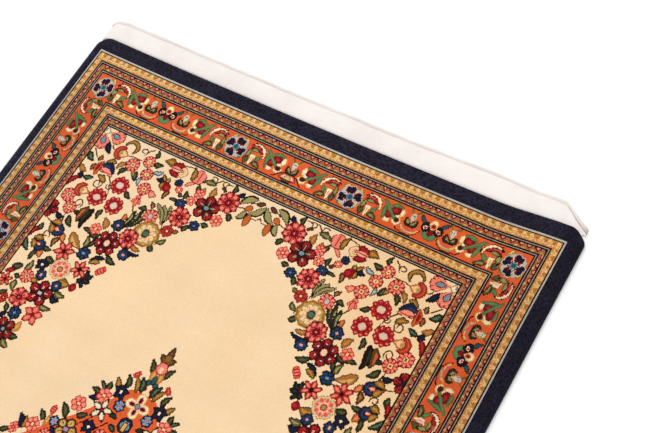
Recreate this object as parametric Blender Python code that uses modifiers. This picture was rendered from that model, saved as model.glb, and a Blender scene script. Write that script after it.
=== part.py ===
"""A hand-knotted Persian rug lying flat: one knotted pile body, a wrapped selvedge cord down each long side,
and a plain-woven kilim strip with a turned hem across each end.

Metres, +Z up. The origin is on the floor under the middle of the rug, +Y runs along the length, and the rug is
the same when it is turned half a turn about Z.
"""

import math

import bmesh
import bpy

# The knotted pile body and its outline
RUG_WIDTH = 1.056  # over both selvedges
PILE_LENGTH = 1.604  # between the two ends of the pile, at their corners
PILE_THICKNESS = 0.008  # foundation and wool together
PILE_EDGE_ROUND = 0.0025
SOFT_CORNER = 0.028  # radius at +X of the +Y end, and at -X of the -Y end
TIGHT_CORNER = 0.018  # radius at the other two
ARC_STEP = math.radians(11.25)
OUTLINE_STEP = 0.040  # between outline points along the straight stretches

# The selvedge: navy wool wrapped round the edge warps
SELVEDGE_DIAMETER = 0.008
SELVEDGE_TURN_IN = math.radians(45)  # how far it follows each rounded corner

# The kilim: a flat cotton weave with its edge turned over and sewn down
CLOTH_THICKNESS = 0.0016
FOLD_GAP = 0.0003
HEM_WIDTH = 0.0065
KILIM_COLUMNS = 28
RIPPLE_HEIGHT = 0.0012  # the cloth is looser than the pile, so it cockles a little
RIPPLE_LENGTHS = (0.233, 0.147)
# Outer edge of the +Y kilim, seen from above: x along the rug's end, depth out from the pile's end line.
# Its +X corner is turned in on a slant.
KILIM_EDGE = (
    # x,      depth
    (-0.5265, 0.0360),
    (-0.5200, 0.0470),
    (-0.4980, 0.0515),
    (-0.2000, 0.0520),
    (0.1500, 0.0515),
    (0.3400, 0.0550),
    (0.4650, 0.0465),
    (0.5210, 0.0080),
)

# Hand weaving strays from straight: each end bows, and one corner of each end creeps outwards
DRIFT_START = 0.640  # distance from the middle of the rug at which an end begins to stray
END_SAG = 0.0050
CORNER_CREEP = 0.0080
CREEP_START = 0.360
CREEP_RUN = 0.140
SIDE_BOW = 0.0012
SIDE_BOW_WAVES = 1.5  # along the pile's length

GAP = 0.0003  # kept between touching pieces

HALF_WIDTH = RUG_WIDTH / 2
HALF_LENGTH = PILE_LENGTH / 2
PILE_HALF_WIDTH = HALF_WIDTH - SELVEDGE_DIAMETER - GAP


def eased(t):
    """0 to 1 with a soft start and stop."""
    t = min(max(t, 0.0), 1.0)
    return t * t * (3 - 2 * t)


def drifted(x, y):
    """Where a point of the straight, ideal rug really lies. Both ends stray alike, half a turn apart."""
    turn = 1 if y > 0 else -1
    u, v = turn * x, turn * y
    near_end = eased((v - DRIFT_START) / (HALF_LENGTH - DRIFT_START))
    sag = END_SAG * (1 - (u / HALF_WIDTH) ** 2)
    creep = CORNER_CREEP * eased((u - CREEP_START) / CREEP_RUN)
    bow = SIDE_BOW * math.sin(2 * math.pi * SIDE_BOW_WAVES * y / PILE_LENGTH)
    return x + bow, y + turn * near_end * (creep - sag)


def spaced(start, stop, step):
    """Evenly spaced numbers from start to stop, about a step apart."""
    count = max(1, math.ceil(abs(stop - start) / step - 0.01))
    return [start + (stop - start) * i / count for i in range(count + 1)]


def arc(middle_x, middle_y, radius, start, stop):
    """Points along an arc about the middle, angles from +X."""
    turns = spaced(start, stop, ARC_STEP)
    return [(middle_x + radius * math.cos(a), middle_y + radius * math.sin(a)) for a in turns]


def pile_outline():
    """The straight outline of the pile body, clockwise. Its second half is the first, turned half a turn."""
    w, l = PILE_HALF_WIDTH, HALF_LENGTH
    end = [(x, l) for x in spaced(-w + TIGHT_CORNER, w - SOFT_CORNER, OUTLINE_STEP)]
    soft = arc(w - SOFT_CORNER, l - SOFT_CORNER, SOFT_CORNER, math.pi / 2, 0)
    side = [(w, y) for y in spaced(l - SOFT_CORNER, -l + TIGHT_CORNER, OUTLINE_STEP)]
    tight = arc(w - TIGHT_CORNER, -l + TIGHT_CORNER, TIGHT_CORNER, 0, -math.pi / 2)
    half = end[:-1] + soft + side[1:-1] + tight[:-1]
    return half + [(-x, -y) for x, y in half]


def new_curve(name, points, cyclic):
    """A curve object with one straight-edged spline through the points."""
    data = bpy.data.curves.new(name, "CURVE")
    spline = data.splines.new("POLY")
    spline.points.add(len(points) - 1)
    for slot, (x, y, z) in zip(spline.points, points):
        slot.co = (x, y, z, 1)
    spline.use_cyclic_u = cyclic
    return bpy.data.objects.new(name, data)


def make_pile():
    """The knotted body: a flat slab with rounded corners and softly rounded cut edges."""
    points = [(*drifted(x, y), 0) for x, y in pile_outline()]
    obj = new_curve("knotted_pile", points, cyclic=True)
    obj.data.dimensions = "2D"
    obj.data.fill_mode = "BOTH"
    obj.data.extrude = PILE_THICKNESS / 2 - PILE_EDGE_ROUND
    obj.data.bevel_depth = PILE_EDGE_ROUND
    obj.data.bevel_resolution = 1
    obj.data.offset = -PILE_EDGE_ROUND
    obj.location.z = PILE_THICKNESS / 2
    weld = obj.modifiers.new("Weld", "WELD")
    weld.merge_threshold = 0.00005
    return obj


def make_selvedge(name, side):
    """The wrapped cord along one long side, +X or -X, turned in a little round both corners."""
    radius = SELVEDGE_DIAMETER / 2
    out = GAP + radius  # from the pile's edge to the cord's middle line
    w, l = PILE_HALF_WIDTH, HALF_LENGTH
    turn_in = SELVEDGE_TURN_IN
    soft = arc(w - SOFT_CORNER, l - SOFT_CORNER, SOFT_CORNER + out, turn_in, 0)
    straight = [(w + out, y) for y in spaced(l - SOFT_CORNER, -l + TIGHT_CORNER, OUTLINE_STEP)]
    tight = arc(w - TIGHT_CORNER, -l + TIGHT_CORNER, TIGHT_CORNER + out, 0, -turn_in)
    path = soft + straight[1:-1] + tight
    points = [(*drifted(side * x, side * y), radius) for x, y in path]
    obj = new_curve(name, points, cyclic=False)
    obj.data.dimensions = "3D"
    obj.data.bevel_depth = radius
    obj.data.bevel_resolution = 2
    obj.data.use_fill_caps = True
    weld = obj.modifiers.new("Weld", "WELD")
    weld.merge_threshold = 0.00005
    return obj


def kilim_corner(radius):
    """The kilim's inner edge round one corner of the pile, as (x past the corner's middle, depth).

    It follows the pile, steps out round the end of the selvedge, and then follows the selvedge.
    """
    inner, outer = radius + 2 * GAP, radius + SELVEDGE_DIAMETER + 3 * GAP
    side_end = math.radians(20)
    along_pile = arc(0, -radius, inner, math.pi / 2, SELVEDGE_TURN_IN + ARC_STEP / 4)
    along_selvedge = arc(0, -radius, outer, SELVEDGE_TURN_IN, side_end)
    return along_pile + along_selvedge


def inner_edge():
    """The whole inner edge of the +Y kilim, from -X to +X, as (x, depth)."""
    first, last = KILIM_EDGE[0][0], KILIM_EDGE[-1][0]
    left = [(-(PILE_HALF_WIDTH - TIGHT_CORNER + x), d) for x, d in kilim_corner(TIGHT_CORNER)]
    right = [(PILE_HALF_WIDTH - SOFT_CORNER + x, d) for x, d in kilim_corner(SOFT_CORNER)]
    line = left[::-1] + right
    ends = [(first, read_off(line, first)), (last, read_off(line, last))]
    return ends[:1] + [p for p in line if first < p[0] < last] + ends[1:]


def read_off(line, x):
    """The second value of a line of (x, value) points at x."""
    for (x0, d0), (x1, d1) in zip(line, line[1:]):
        if x <= x1:
            return d0 + (d1 - d0) * (x - x0) / (x1 - x0)
    return line[-1][1]


def kilim_columns():
    """x of each column of the strip: one at each bend of either edge, and evenly spaced ones between."""
    bends = sorted([x for x, _ in KILIM_EDGE] + [x for x, _ in inner_edge()[1:-1]])
    step = (bends[-1] - bends[0]) / KILIM_COLUMNS
    even = spaced(bends[0], bends[-1], step)
    return sorted(bends + [x for x in even if min(abs(x - bend) for bend in bends) > step / 3])


def hem_section(inner, outer):
    """The middle line of the cloth across the strip, as (depth, height): flat, then folded back over itself."""
    bend = (CLOTH_THICKNESS + FOLD_GAP) / 2
    low = CLOTH_THICKNESS / 2
    flat = [(inner + (outer - HEM_WIDTH - inner) * t, low) for t in (0, 0.5, 1)]
    turns = [math.pi * (i / 4 - 0.5) for i in range(5)]
    fold = [(outer - low - bend + bend * math.cos(a), low + bend + bend * math.sin(a)) for a in turns]
    return flat + fold + [(outer - HEM_WIDTH, low + 2 * bend)]


def ripple(x):
    """How far the loose outer edge of a kilim stands off the floor at x."""
    waves = [math.sin(2 * math.pi * x / length) for length in RIPPLE_LENGTHS]
    return RIPPLE_HEIGHT * (1 + sum(waves) / len(waves)) / 2


def make_kilim(name, turn):
    """The woven strip beyond the pile at the +Y end (turn 1) or the -Y end (turn -1), with its hem on top."""
    columns = kilim_columns()
    inner = inner_edge()
    sections = [hem_section(read_off(inner, x), read_off(KILIM_EDGE, x)) for x in columns]
    last_column, last_row = len(columns) - 1, len(sections[0]) - 1
    mesh = bpy.data.meshes.new(name)
    bm = bmesh.new()
    bmesh.ops.create_grid(bm, x_segments=last_column, y_segments=last_row, size=1)
    for vert in bm.verts:
        column = round((vert.co.x + 1) / 2 * last_column)
        row = round((vert.co.y + 1) / 2 * last_row)
        depth, height = sections[column][row]
        end_x, end_y = drifted(columns[column], HALF_LENGTH)
        lift = ripple(end_x) * eased(depth / sections[column][-1][0])
        vert.co = (turn * end_x, turn * (end_y + depth), height + lift)
    bm.to_mesh(mesh)
    bm.free()
    obj = bpy.data.objects.new(name, mesh)
    sheet = obj.modifiers.new("Solidify", "SOLIDIFY")
    sheet.thickness = CLOTH_THICKNESS
    sheet.offset = 0
    return obj


def make_material(name, colour, roughness):
    """A matt cloth material."""
    material = bpy.data.materials.new(name)
    material.use_nodes = True
    shader = material.node_tree.nodes["Principled BSDF"]
    shader.inputs["Base Color"].default_value = (*colour, 1)
    shader.inputs["Roughness"].default_value = roughness
    shader.inputs["Metallic"].default_value = 0
    return material


def main():
    for old in list(bpy.data.objects):
        bpy.data.objects.remove(old)
    rug = bpy.data.collections.new("persian_rug")
    bpy.context.scene.collection.children.link(rug)
    ivory_wool = make_material("ivory_wool_pile", (0.78, 0.60, 0.36), 0.9)
    navy_wool = make_material("navy_wool_wrap", (0.018, 0.018, 0.042), 0.85)
    white_cotton = make_material("white_cotton_kilim", (0.86, 0.83, 0.79), 0.9)
    pieces = (
        (make_pile(), ivory_wool),
        (make_selvedge("selvedge_right", 1), navy_wool),
        (make_selvedge("selvedge_left", -1), navy_wool),
        (make_kilim("kilim_far_end", 1), white_cotton),
        (make_kilim("kilim_near_end", -1), white_cotton),
    )
    for obj, material in pieces:
        obj.data.materials.append(material)
        rug.objects.link(obj)


main()
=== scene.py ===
"""The looks of a hand-knotted Persian rug that lies flat, modelled knot by knot.

One quarter of the design is painted on a grid with one cell for each knot, as a weaver's cartoon is, and
mirrored about both middle lines. Each knot becomes one face of the pile. The plain navy band round the
pattern, the wrapped sides, the woven kilim ends and the back are modelled round it.
"""

import math
from functools import partial

import bpy
import numpy as np
from mathutils import Matrix


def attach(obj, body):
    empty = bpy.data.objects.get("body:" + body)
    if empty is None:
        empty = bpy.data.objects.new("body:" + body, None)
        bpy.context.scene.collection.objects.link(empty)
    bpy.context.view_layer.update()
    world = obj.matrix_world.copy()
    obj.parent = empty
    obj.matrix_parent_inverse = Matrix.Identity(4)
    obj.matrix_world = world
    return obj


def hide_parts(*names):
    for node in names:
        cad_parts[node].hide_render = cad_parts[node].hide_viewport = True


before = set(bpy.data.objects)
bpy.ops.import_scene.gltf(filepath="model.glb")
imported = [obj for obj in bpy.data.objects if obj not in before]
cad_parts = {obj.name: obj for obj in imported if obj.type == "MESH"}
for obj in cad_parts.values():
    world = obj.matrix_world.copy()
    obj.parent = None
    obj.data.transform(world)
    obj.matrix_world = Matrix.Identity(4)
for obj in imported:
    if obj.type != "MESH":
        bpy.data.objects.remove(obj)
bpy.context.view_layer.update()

# ---- The design ----
# Points of the design are in millimetres: x out from the rug's middle line, and y up from the far black guard
# line, which is FAR_GUARD away from the middle of the rug. Only the far right quarter is drawn.

KNOT_MM = 2.0
FIELD_COLUMNS = 190  # knots from the middle one to the edge of the field
FIELD_ROWS = 313
FAR_GUARD = 766.0

YARNS = {  # sRGB, 0 to 255
    "ivory": (246, 213, 170), "cream": (250, 226, 184), "chalk": (212, 198, 176), "silver": (188, 184, 178),
    "pewter": (168, 161, 153), "ink": (32, 18, 11), "navy": (24, 22, 40), "indigo": (24, 34, 66),
    "blue": (32, 62, 96), "sky": (118, 142, 156), "haze": (136, 150, 178), "mist": (178, 198, 188),
    "teal": (34, 88, 94), "flame": (224, 94, 50), "apricot": (230, 138, 80), "coral": (220, 91, 78),
    "salmon": (237, 127, 104), "rose": (240, 150, 126), "blush": (244, 200, 162), "crimson": (135, 20, 27),
    "ruby": (180, 38, 38), "maroon": (80, 15, 24), "russet": (176, 54, 40), "brick": (170, 108, 76),
    "rust": (200, 98, 44), "umber": (96, 58, 34), "tan": (168, 110, 52), "ochre": (192, 130, 58),
    "wheat": (202, 148, 92), "honey": (226, 176, 116), "gold": (216, 168, 92), "peach": (248, 204, 140),
    "olive": (134, 98, 36), "sage": (156, 144, 90), "moss": (88, 86, 46), "fern": (94, 134, 84),
    "pine": (44, 49, 33), "jade": (80, 108, 86),
}
YARN_NUMBERS = {name: number for number, name in enumerate(YARNS)}
YARN_COLOURS = np.array(list(YARNS.values())) / 255


def line_group(side, end):
    """A white line between two black ones, so wide in all on the sides and at the ends."""
    shares = (("ink", 0.41), ("pewter", 0.18), ("ink", 0.41))
    return [(yarn, 1, 1, side * share, end * share) for yarn, share in shares]


# The bands from the outside in: what fills each, how many knots wide it is on the sides and at the ends,
# and how large they are there
BANDS = [
    ("silver", 2, 2, 1.3, 1.7),
    ("ink", 1, 1, 2.5, 2.2),
    ("guard", 6, 8, 2.0, 1.9),
    *line_group(6.9, 7.4),
    ("zigzag", 4, 5, 1.85, 1.96),
    *line_group(6.9, 7.4),
    ("main", 23, 26, 2.0, 2.01),
    *line_group(6.9, 6.9),
    ("guard", 6, 7, 2.1, 2.0),
    *line_group(6.9, 7.4),
    ("zigzag", 5, 5, 1.88, 1.92),
    ("ink", 1, 1, 3.0, 2.7),
    ("pewter", 0, 1, 0.0, 1.4),
    ("ink", 0, 1, 0.0, 2.9),
]
HALF_COLUMNS = FIELD_COLUMNS + sum(band[1] for band in BANDS)
HALF_ROWS = FIELD_ROWS + sum(band[2] for band in BANDS)
REPEAT_KNOTS = 15.3  # of the guards and the zigzags, whose charts show two motifs
CHARTS = {  # one repeat of each, its outer side first
    "guard": (
        "poooooopppgooggp",
        "cooooooccpoooopc",
        "pcooddocpcoddocp",
        "ppoodoocpgcddogp",
        "pgpcoocgppgcopgp",
        "pcggcpgcpgcppcgg",
        "cggopgggcggogggc",
        "oggoogogoggooggo",
    ),
    "zigzag": (
        "msssmttmmsssmttt",
        "rmsmrttrrmsmrttt",
        "trmrttlttrmrttlt",
        "ttrttlyyttrttlyl",
        "ttttlyyyttttlylg",
    ),
}
CHART_YARNS = {
    "o": "ochre", "d": "tan", "g": "wheat", "p": "honey", "c": "peach", "m": "maroon", "r": "crimson",
    "s": "rose", "t": "brick", "l": "olive", "y": "gold",
}
BLOB_POINTS, PETAL_POINTS, CRESCENT_POINTS, TENDRIL_POINTS = 48, 24, 20, 40
LINE_POINTS = 40  # for each point that a line is drawn through
TOOTH_DEPTH = 0.28  # of a toothed leaf, as a share of its width
SMALL_LEAF = 110  # a leaf whose length times its width is less has no inner blade
UNIT_HALF = 161  # from the middle of a long border unit to its rosette, as its motifs are placed


def blob(rx, ry=None, lobes=0, depth=0.0, turn=0.0):
    """A closed outline round the origin, an ellipse with soft lobes."""
    a = np.linspace(0, 2 * math.pi, BLOB_POINTS, endpoint=False)
    r = 1 + depth * np.cos(lobes * (a - math.radians(turn)))
    return np.stack([rx * r * np.cos(a), (ry or rx) * r * np.sin(a)], 1)


def petal(length, width, fullest=0.5, bend=0.0, teeth=0, start=0.0, point=1.0):
    """A pointed outline along +x from start. fullest is how far along it is widest, point how sharp it is."""
    t = np.linspace(0, 1, PETAL_POINTS)
    half = width / 2 * np.sin(math.pi * t ** (math.log(0.5) / math.log(fullest))) ** point
    if teeth:
        half = half * (1 - TOOTH_DEPTH + TOOTH_DEPTH * ((t * teeth) % 1))
    middle = bend * length * np.sin(math.pi * t)
    x = start + length * t
    return np.concatenate([np.stack([x, middle + half], 1), np.stack([x, middle - half], 1)[::-1]])


def crescent(r, thick, start, stop):
    """A curled outline that follows a circle from start to stop degrees, and is thickest half way."""
    t = np.linspace(0, 1, CRESCENT_POINTS)
    a = np.radians(start + (stop - start) * t)
    half = thick / 2 * np.sin(math.pi * t) ** 0.7
    out, into = r + half, r - half
    far = np.stack([out * np.cos(a), out * np.sin(a)], 1)
    near = np.stack([into * np.cos(a), into * np.sin(a)], 1)
    return np.concatenate([far, near[::-1]])


class Pen:
    """Paints outlines on the grid of knots from its own place, angle and size."""

    def __init__(self, knots, place=((1, 0, 0), (0, 1, 0))):
        self.knots = knots
        self.place = np.array(place, float)

    def at(self, x, y, turn=0.0, sx=1.0, sy=1.0):
        """A pen of its own at x, y, turned by degrees, whose own x and y are stretched."""
        c, s = math.cos(math.radians(turn)), math.sin(math.radians(turn))
        own = np.array([[c * sx, -s * sy, x], [s * sx, c * sy, y], [0, 0, 1]])
        return Pen(self.knots, (np.vstack([self.place, [0, 0, 1]]) @ own)[:2])

    def around(self, count, turn=0.0, away=0.0):
        """So many pens all round this one, so far away from it, whose own x points outwards."""
        return [self.at(0, 0, turn + 360 * k / count).at(away, 0) for k in range(count)]

    def moved(self, points):
        """Points as columns and rows of the grid."""
        x, y = (np.asarray(points, float) @ self.place[:, :2].T + self.place[:, 2]).T
        return x / KNOT_MM, (y + FAR_GUARD) / KNOT_MM

    def fill(self, outline, yarn, edge=None):
        """Fills an outline with a yarn, with one knot of another round it."""
        px, py = self.moved(outline)
        rows, columns = self.knots.shape
        left, right = max(0, int(px.min()) - 2), min(columns, int(px.max()) + 4)
        low, high = max(0, int(py.min()) - 2), min(rows, int(py.max()) + 4)
        if left >= right or low >= high:
            return
        row, column = np.mgrid[low:high, left:right]
        nx, ny = np.roll(px, -1), np.roll(py, -1)
        steep = ny != py
        px, py, nx, ny = (v[steep, None, None] for v in (px, py, nx, ny))
        crosses = (py > row) != (ny > row)
        inside = (crosses & (column < (nx - px) * (row - py) / (ny - py) + px)).sum(0) % 2 == 1
        view = self.knots[low:high, left:right]
        if edge:
            ring = np.pad(inside, 1)
            ring = ring[:-2, 1:-1] | ring[2:, 1:-1] | ring[1:-1, :-2] | ring[1:-1, 2:]
            view[ring & ~inside] = YARN_NUMBERS[edge]
        view[inside] = YARN_NUMBERS[yarn]

    def line(self, points, yarn):
        """A line one knot wide through the points."""
        points = np.asarray(points, float)
        t = np.linspace(0, len(points) - 1, LINE_POINTS * len(points))
        dense = np.stack([np.interp(t, range(len(points)), points[:, i]) for i in (0, 1)], 1)
        columns, rows = (np.round(v).astype(int) for v in self.moved(dense))
        height, width = self.knots.shape
        inside = (columns >= 0) & (columns < width) & (rows >= 0) & (rows < height)
        self.knots[rows[inside], columns[inside]] = YARN_NUMBERS[yarn]

    def ray(self, start, stop, yarn):
        """A straight line along the pen's own x."""
        self.line([(start, 0), (stop, 0)], yarn)


def leaf(pen, length, width, kind):
    """A leaf along the pen's x, about its middle: dark outside, with a light blade nearer one side."""
    blade, edge, inner = LEAVES[kind]
    pen.fill(petal(length, width * 0.86, 0.4, 0.12, start=-length / 2, point=1.3), blade, edge)
    if length * width > SMALL_LEAF and inner:
        own = pen.at(-length * 0.04, width * 0.05)
        own.fill(petal(length * 0.7, width * 0.36, 0.42, 0.12, start=-length / 3), inner)


def plume(pen, blades, yarns):
    """Narrow blades that fan out from one foot. Each is an angle, a length and a width."""
    blade, edge, inner = yarns
    for turn, length, width in blades:
        own = pen.at(0, 0, turn)
        own.fill(petal(length, width, 0.55, 0.1), blade, edge)
        own.fill(petal(length * 0.7, width * 0.4, 0.5, 0.1, start=length * 0.18), inner)


def petal_flower(pen, petals=8):
    """A flower of long notched petals, seen from above, with dark tips of leaves between them."""
    for own in pen.around(petals, 180 / petals):
        own.fill(petal(0.88, 0.24, 0.74), "maroon", "ink")
    for own in pen.around(petals):
        own.fill(petal(0.96, 3.2 / petals, 0.68), "coral", "crimson")
        own.fill(petal(0.5, 1.8 / petals, 0.6, start=0.4), "salmon")
        own.ray(0.5, 0.7, "rose")
        own.ray(0.2, 0.5, "crimson")
        own.ray(0.84, 0.96, "crimson")
    pen.fill(blob(0.2), "crimson", "maroon")
    pen.fill(blob(0.08), "rose")


def disc_flower(pen, petals=5, drop="sage", heart="sky", spots=False):
    """A flower of separate crimson petals, each with its own dark edge and a pale drop or spot."""
    size = 0.6 * math.sin(math.pi / petals)
    for own in pen.around(petals, 90, 0.6):
        own.fill(blob(size * 1.04, size, 7, 0.07), "maroon", "ink")
        own.at(size * 0.1, 0).fill(blob(size * 0.78, size * 0.74, 5, 0.1), "crimson")
        for way in (1, -1):
            own.line([(0, way * size * 0.4), (size * 0.66, way * size * 0.5)], "ruby")
        own.ray(size * 0.3, size * 0.84, "ruby")
        if spots:
            own.at(-size * 0.1, 0).fill(blob(size * 0.24), "chalk", "maroon")
        else:
            own.at(-size * 0.95, 0).fill(petal(size * 1.2, size * 0.42, 0.6), drop, "maroon")
    pen.fill(blob(0.22 if spots else 0.16), heart, "crimson" if spots else "ink")


def bead_rosette(pen):
    """A ring of red beads round a pale middle."""
    pen.fill(blob(0.7), "crimson")
    for own in pen.around(9):
        own.at(0.7, 0).fill(blob(0.19, 0.2), "ruby", "crimson")
        own.at(0.74, 0).fill(blob(0.07), "rose")
    pen.fill(blob(0.36, 0.33), "chalk", "ruby")
    pen.fill(blob(0.14), "blush")


def ring_flower(pen, ring="peach", heart="moss"):
    """A scalloped flower of many short petals with a pale ring about its eye."""
    pen.fill(blob(0.86, lobes=9, depth=0.08), "salmon", "crimson")
    for own in pen.around(9, 20):
        own.ray(0.4, 0.64, "coral")
        own.ray(0.64, 0.92, "crimson")
    for own in pen.around(9):
        own.ray(0.6, 0.76, "rose")
    pen.fill(blob(0.32), ring, "ruby")
    pen.fill(blob(0.16), heart)


def round_flower(pen, fill="salmon", edge="ruby"):
    """A flower of separate round petals about a small heart."""
    for own in pen.around(6, 90, 0.6):
        own.fill(blob(0.29), fill, edge)
    for own in pen.around(6, 90, 0.66):
        own.fill(blob(0.14), "rose" if fill == "salmon" else fill)
    pen.fill(blob(0.26), edge)
    pen.fill(blob(0.19), "peach")


def olive_rosette(pen):
    """A large pale flower inside an olive ring."""
    pen.fill(blob(0.96, lobes=10, depth=0.04), "olive", "tan")
    pen.fill(blob(0.88, lobes=10, depth=0.05), "ochre")
    pen.fill(blob(0.8, lobes=10, depth=0.05), "gold")
    pen.fill(blob(0.68, lobes=9, depth=0.08), "peach", "sage")
    for own in pen.around(9):
        own.fill(petal(0.3, 0.2, start=0.36), "blush")
        own.at(0, 0, 20).ray(0.56, 0.74, "sage")
        own.at(0, 0, 8).ray(0.36, 0.52, "rose")
    own = pen.at(0.06, 0)
    own.fill(blob(0.27, 0.31), "pine", "sage")
    own.fill(blob(0.18, 0.2), "jade")


def blue_flower(pen, fill="blue", edge="indigo", heart="sky", lobes=6, eye=0.15):
    """A blue flower with a small bright eye."""
    for own in pen.around(lobes, 20, 0.54):
        own.fill(blob(0.3, 0.26), edge, "ink")
    for own in pen.around(lobes, 20):
        own.at(0.5, 0).fill(blob(0.2), fill)
        own.at(0, 0, 180 / lobes).ray(0.5, 0.74, "ink")
    pen.fill(blob(0.36), edge)
    pen.fill(blob(eye), heart, fill)


def star_flower(pen, petals=6, width=0.4, fill="salmon", edge="crimson", rim="russet", heart="ink"):
    """A flower of pointed petals that stand apart, each with a darker rim."""
    for own in pen.around(petals, 90):
        own.fill(petal(1, width, 0.56), rim, edge)
        own.fill(petal(0.64, width * 0.6, 0.5, start=0.24), fill)
        own.ray(0.92, 1.08, edge)
    pen.fill(blob(0.18), heart, edge)


def pale_rosette(pen):
    """A large pale flower with pink dots and a green eye."""
    pen.fill(blob(0.94, lobes=8, depth=0.08), "peach", "sage")
    for own in pen.around(8, 22.5):
        own.ray(0.56, 0.9, "sage")
        own.at(0.86, 0).fill(blob(0.08), "mist")
    for own in pen.around(8, away=0.64):
        own.fill(blob(0.15), "coral", "rose")
    pen.fill(blob(0.4), "blush")
    pen.fill(blob(0.3), "russet")
    pen.fill(blob(0.2), "sage")


def pink_lily(pen):
    """A flower seen from the side, opening along the pen's x between two crimson petals."""
    pen.at(14, 2, 180).fill(petal(21, 20, 0.45, start=-10), "blush", "tan")
    pen.at(12, 2).fill(blob(4, 4), "peach", "gold")
    pen.at(-1, -9, -16).fill(petal(24, 12, 0.5, 0.1, start=-12), "crimson", "maroon")
    pen.at(-2, 12, 16).fill(petal(23, 12, 0.5, -0.1, start=-12), "crimson", "maroon")
    pen.at(0, -9, -16).line([(-8, 1), (6, 1)], "ruby")
    pen.at(-1, 12, 16).line([(-8, -1), (6, -1)], "ruby")
    pen.at(-1, 1).fill(petal(26, 10, 0.5, start=-13), "rose", "crimson")
    pen.line([(-10, 1), (9, 1)], "crimson")
    pen.line([(-4, 3), (7, 3)], "blush")


def blue_lily(pen):
    """A flower seen from the side: a dark blue petal over a pink one, out of a red cup with olive leaves."""
    leaf(pen.at(-3, 13, -24), 24, 12, "olive")
    leaf(pen.at(-5, -24, 24), 24, 12, "olive")
    pen.at(-4, -2, 14).fill(petal(36, 15, 0.5, 0.22, start=-18), "indigo", "ink")
    pen.at(-4, -1, 14).fill(petal(22, 6, 0.5, 0.2, start=-8), "blue")
    pen.at(-5, -9, 8).fill(petal(34, 12, 0.55, 0.1, start=-17), "rose", "maroon")
    pen.line([(-16, -10), (2, -8), (8, -6)], "ruby")
    pen.line([(-10, -13), (2, -12)], "blush")
    pen.at(12, -6, 92).fill(petal(34, 12, 0.5, -0.12, start=-17), "rust", "crimson")
    pen.at(14, -6, 92).fill(petal(24, 6, 0.5, -0.12, start=-12), "crimson")


def blue_globe(pen):
    """A dark blue flower, open to one side, where two olive leaves hold it."""
    pen.fill(blob(0.84, lobes=9, depth=0.07), "indigo", "ink")
    pen.fill(blob(0.66, lobes=9, depth=0.1), "blue")
    pen.fill(blob(0.42), "navy")
    for way in (1, -1):
        leaf(pen.at(1, way * 0.5, -way * 34, 0.1, 0.1), 15, 10, "olive")
    pen.at(0.2, 0).fill(petal(0.84, 0.42, 0.5, start=-0.4), "rose", "crimson")
    pen.at(0.1, 0).fill(blob(0.14), "blush")


def open_bud(pen):
    """A pale bud held by a red crescent."""
    pen.at(-0.1, 0, 180).fill(petal(1.5, 1.1, 0.4, start=-0.7), "wheat", "russet")
    pen.at(-0.1, 0, 180).fill(petal(1, 0.7, 0.4, start=-0.4), "peach")
    pen.fill(crescent(0.8, 0.6, -105, 105), "russet", "crimson")
    pen.fill(crescent(0.84, 0.16, -80, 80), "rust")
    pen.at(0.1, 0).fill(blob(0.16), "sage", "wheat")


def fork(pen):
    """A small pink flower with three prongs that hangs along the pen's x."""
    pen.at(-0.7, 0).fill(blob(0.36), "salmon", "ruby")
    for turn, length in ((44, 1.2), (-44, 1.2), (0, 1.7)):
        pen.at(-0.4, 0, turn).fill(petal(length, 0.5, 0.4), "salmon", "ruby")


def berry(pen):
    """A round red bud."""
    pen.fill(blob(1, 1.06), "crimson")
    pen.at(-0.2, 0).fill(blob(0.5), "ruby")


def pink_bud(pen):
    """A long closed bud with stripes across it, along the pen's x."""
    pen.fill(blob(0.94, 0.54), "coral", "ruby")
    pen.fill(blob(0.7, 0.3), "salmon")
    for x in (-0.5, 0.0, 0.5):
        pen.line([(x, -0.4), (x, 0.4)], "ruby")


def feather(pen, length, width, yarns):
    """A long toothed leaf with a paler middle."""
    blade, edge, inner = yarns
    pen.fill(petal(length, width, 0.4, 0.1, 6, -length / 2), blade, edge)
    pen.at(0, width * 0.14).fill(petal(length * 0.74, width * 0.34, 0.4, 0.12, 0, -length * 0.36), inner)


def hook(pen, r, kind):
    """A long leaf whose tip curls over."""
    blade, edge, inner = LEAVES[kind]
    pen.fill(crescent(r, r * 0.54, 235, 0), blade, edge)
    pen.fill(crescent(r * 1.04, r * 0.2, 210, 20), inner)


def tendril(pen, r, turns):
    """A thin shoot that winds inwards from the pen, clockwise, or the other way for less than 0 turns."""
    a = np.linspace(0, turns * 2 * math.pi, TENDRIL_POINTS)
    shrink = r * (1 - 0.6 * a / a[-1])
    pen.line(np.stack([r - shrink * np.cos(a), shrink * np.sin(a)], 1), "umber")


FLOWERS = {  # each is drawn with a radius of 1
    "petal": petal_flower,
    "round": round_flower,
    "cluster": partial(petal_flower, petals=6),
    "disc": disc_flower,
    "disc6": partial(disc_flower, petals=6, heart="blush", spots=True),
    "rosedisc": partial(disc_flower, drop="rose", heart="silver"),
    "bead": bead_rosette,
    "ring": ring_flower,
    "palering": partial(ring_flower, ring="mist", heart="silver"),
    "red": partial(round_flower, fill="russet", edge="crimson"),
    "olive": olive_rosette,
    "blue": blue_flower,
    "navy": partial(blue_flower, heart="rose", lobes=7, eye=0.2),
    "sky": partial(blue_flower, fill="haze", edge="blue", heart="coral", eye=0.26),
    "dark": partial(star_flower, petals=5, width=0.6, fill="indigo", edge="ink", rim="navy", heart="cream"),
    "star": star_flower,
    "widestar": partial(star_flower, petals=5, width=0.56, rim="coral", heart="crimson"),
    "white": partial(star_flower, petals=5, fill="cream", edge="ink", rim="chalk", heart="crimson"),
    "pale": pale_rosette,
    "bud": open_bud,
    "globe": blue_globe,
    "bluedisc": partial(disc_flower, heart="indigo", drop="ruby"),
    "fork": fork,
    "berry": berry,
    "pinkbud": pink_bud,
}

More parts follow.
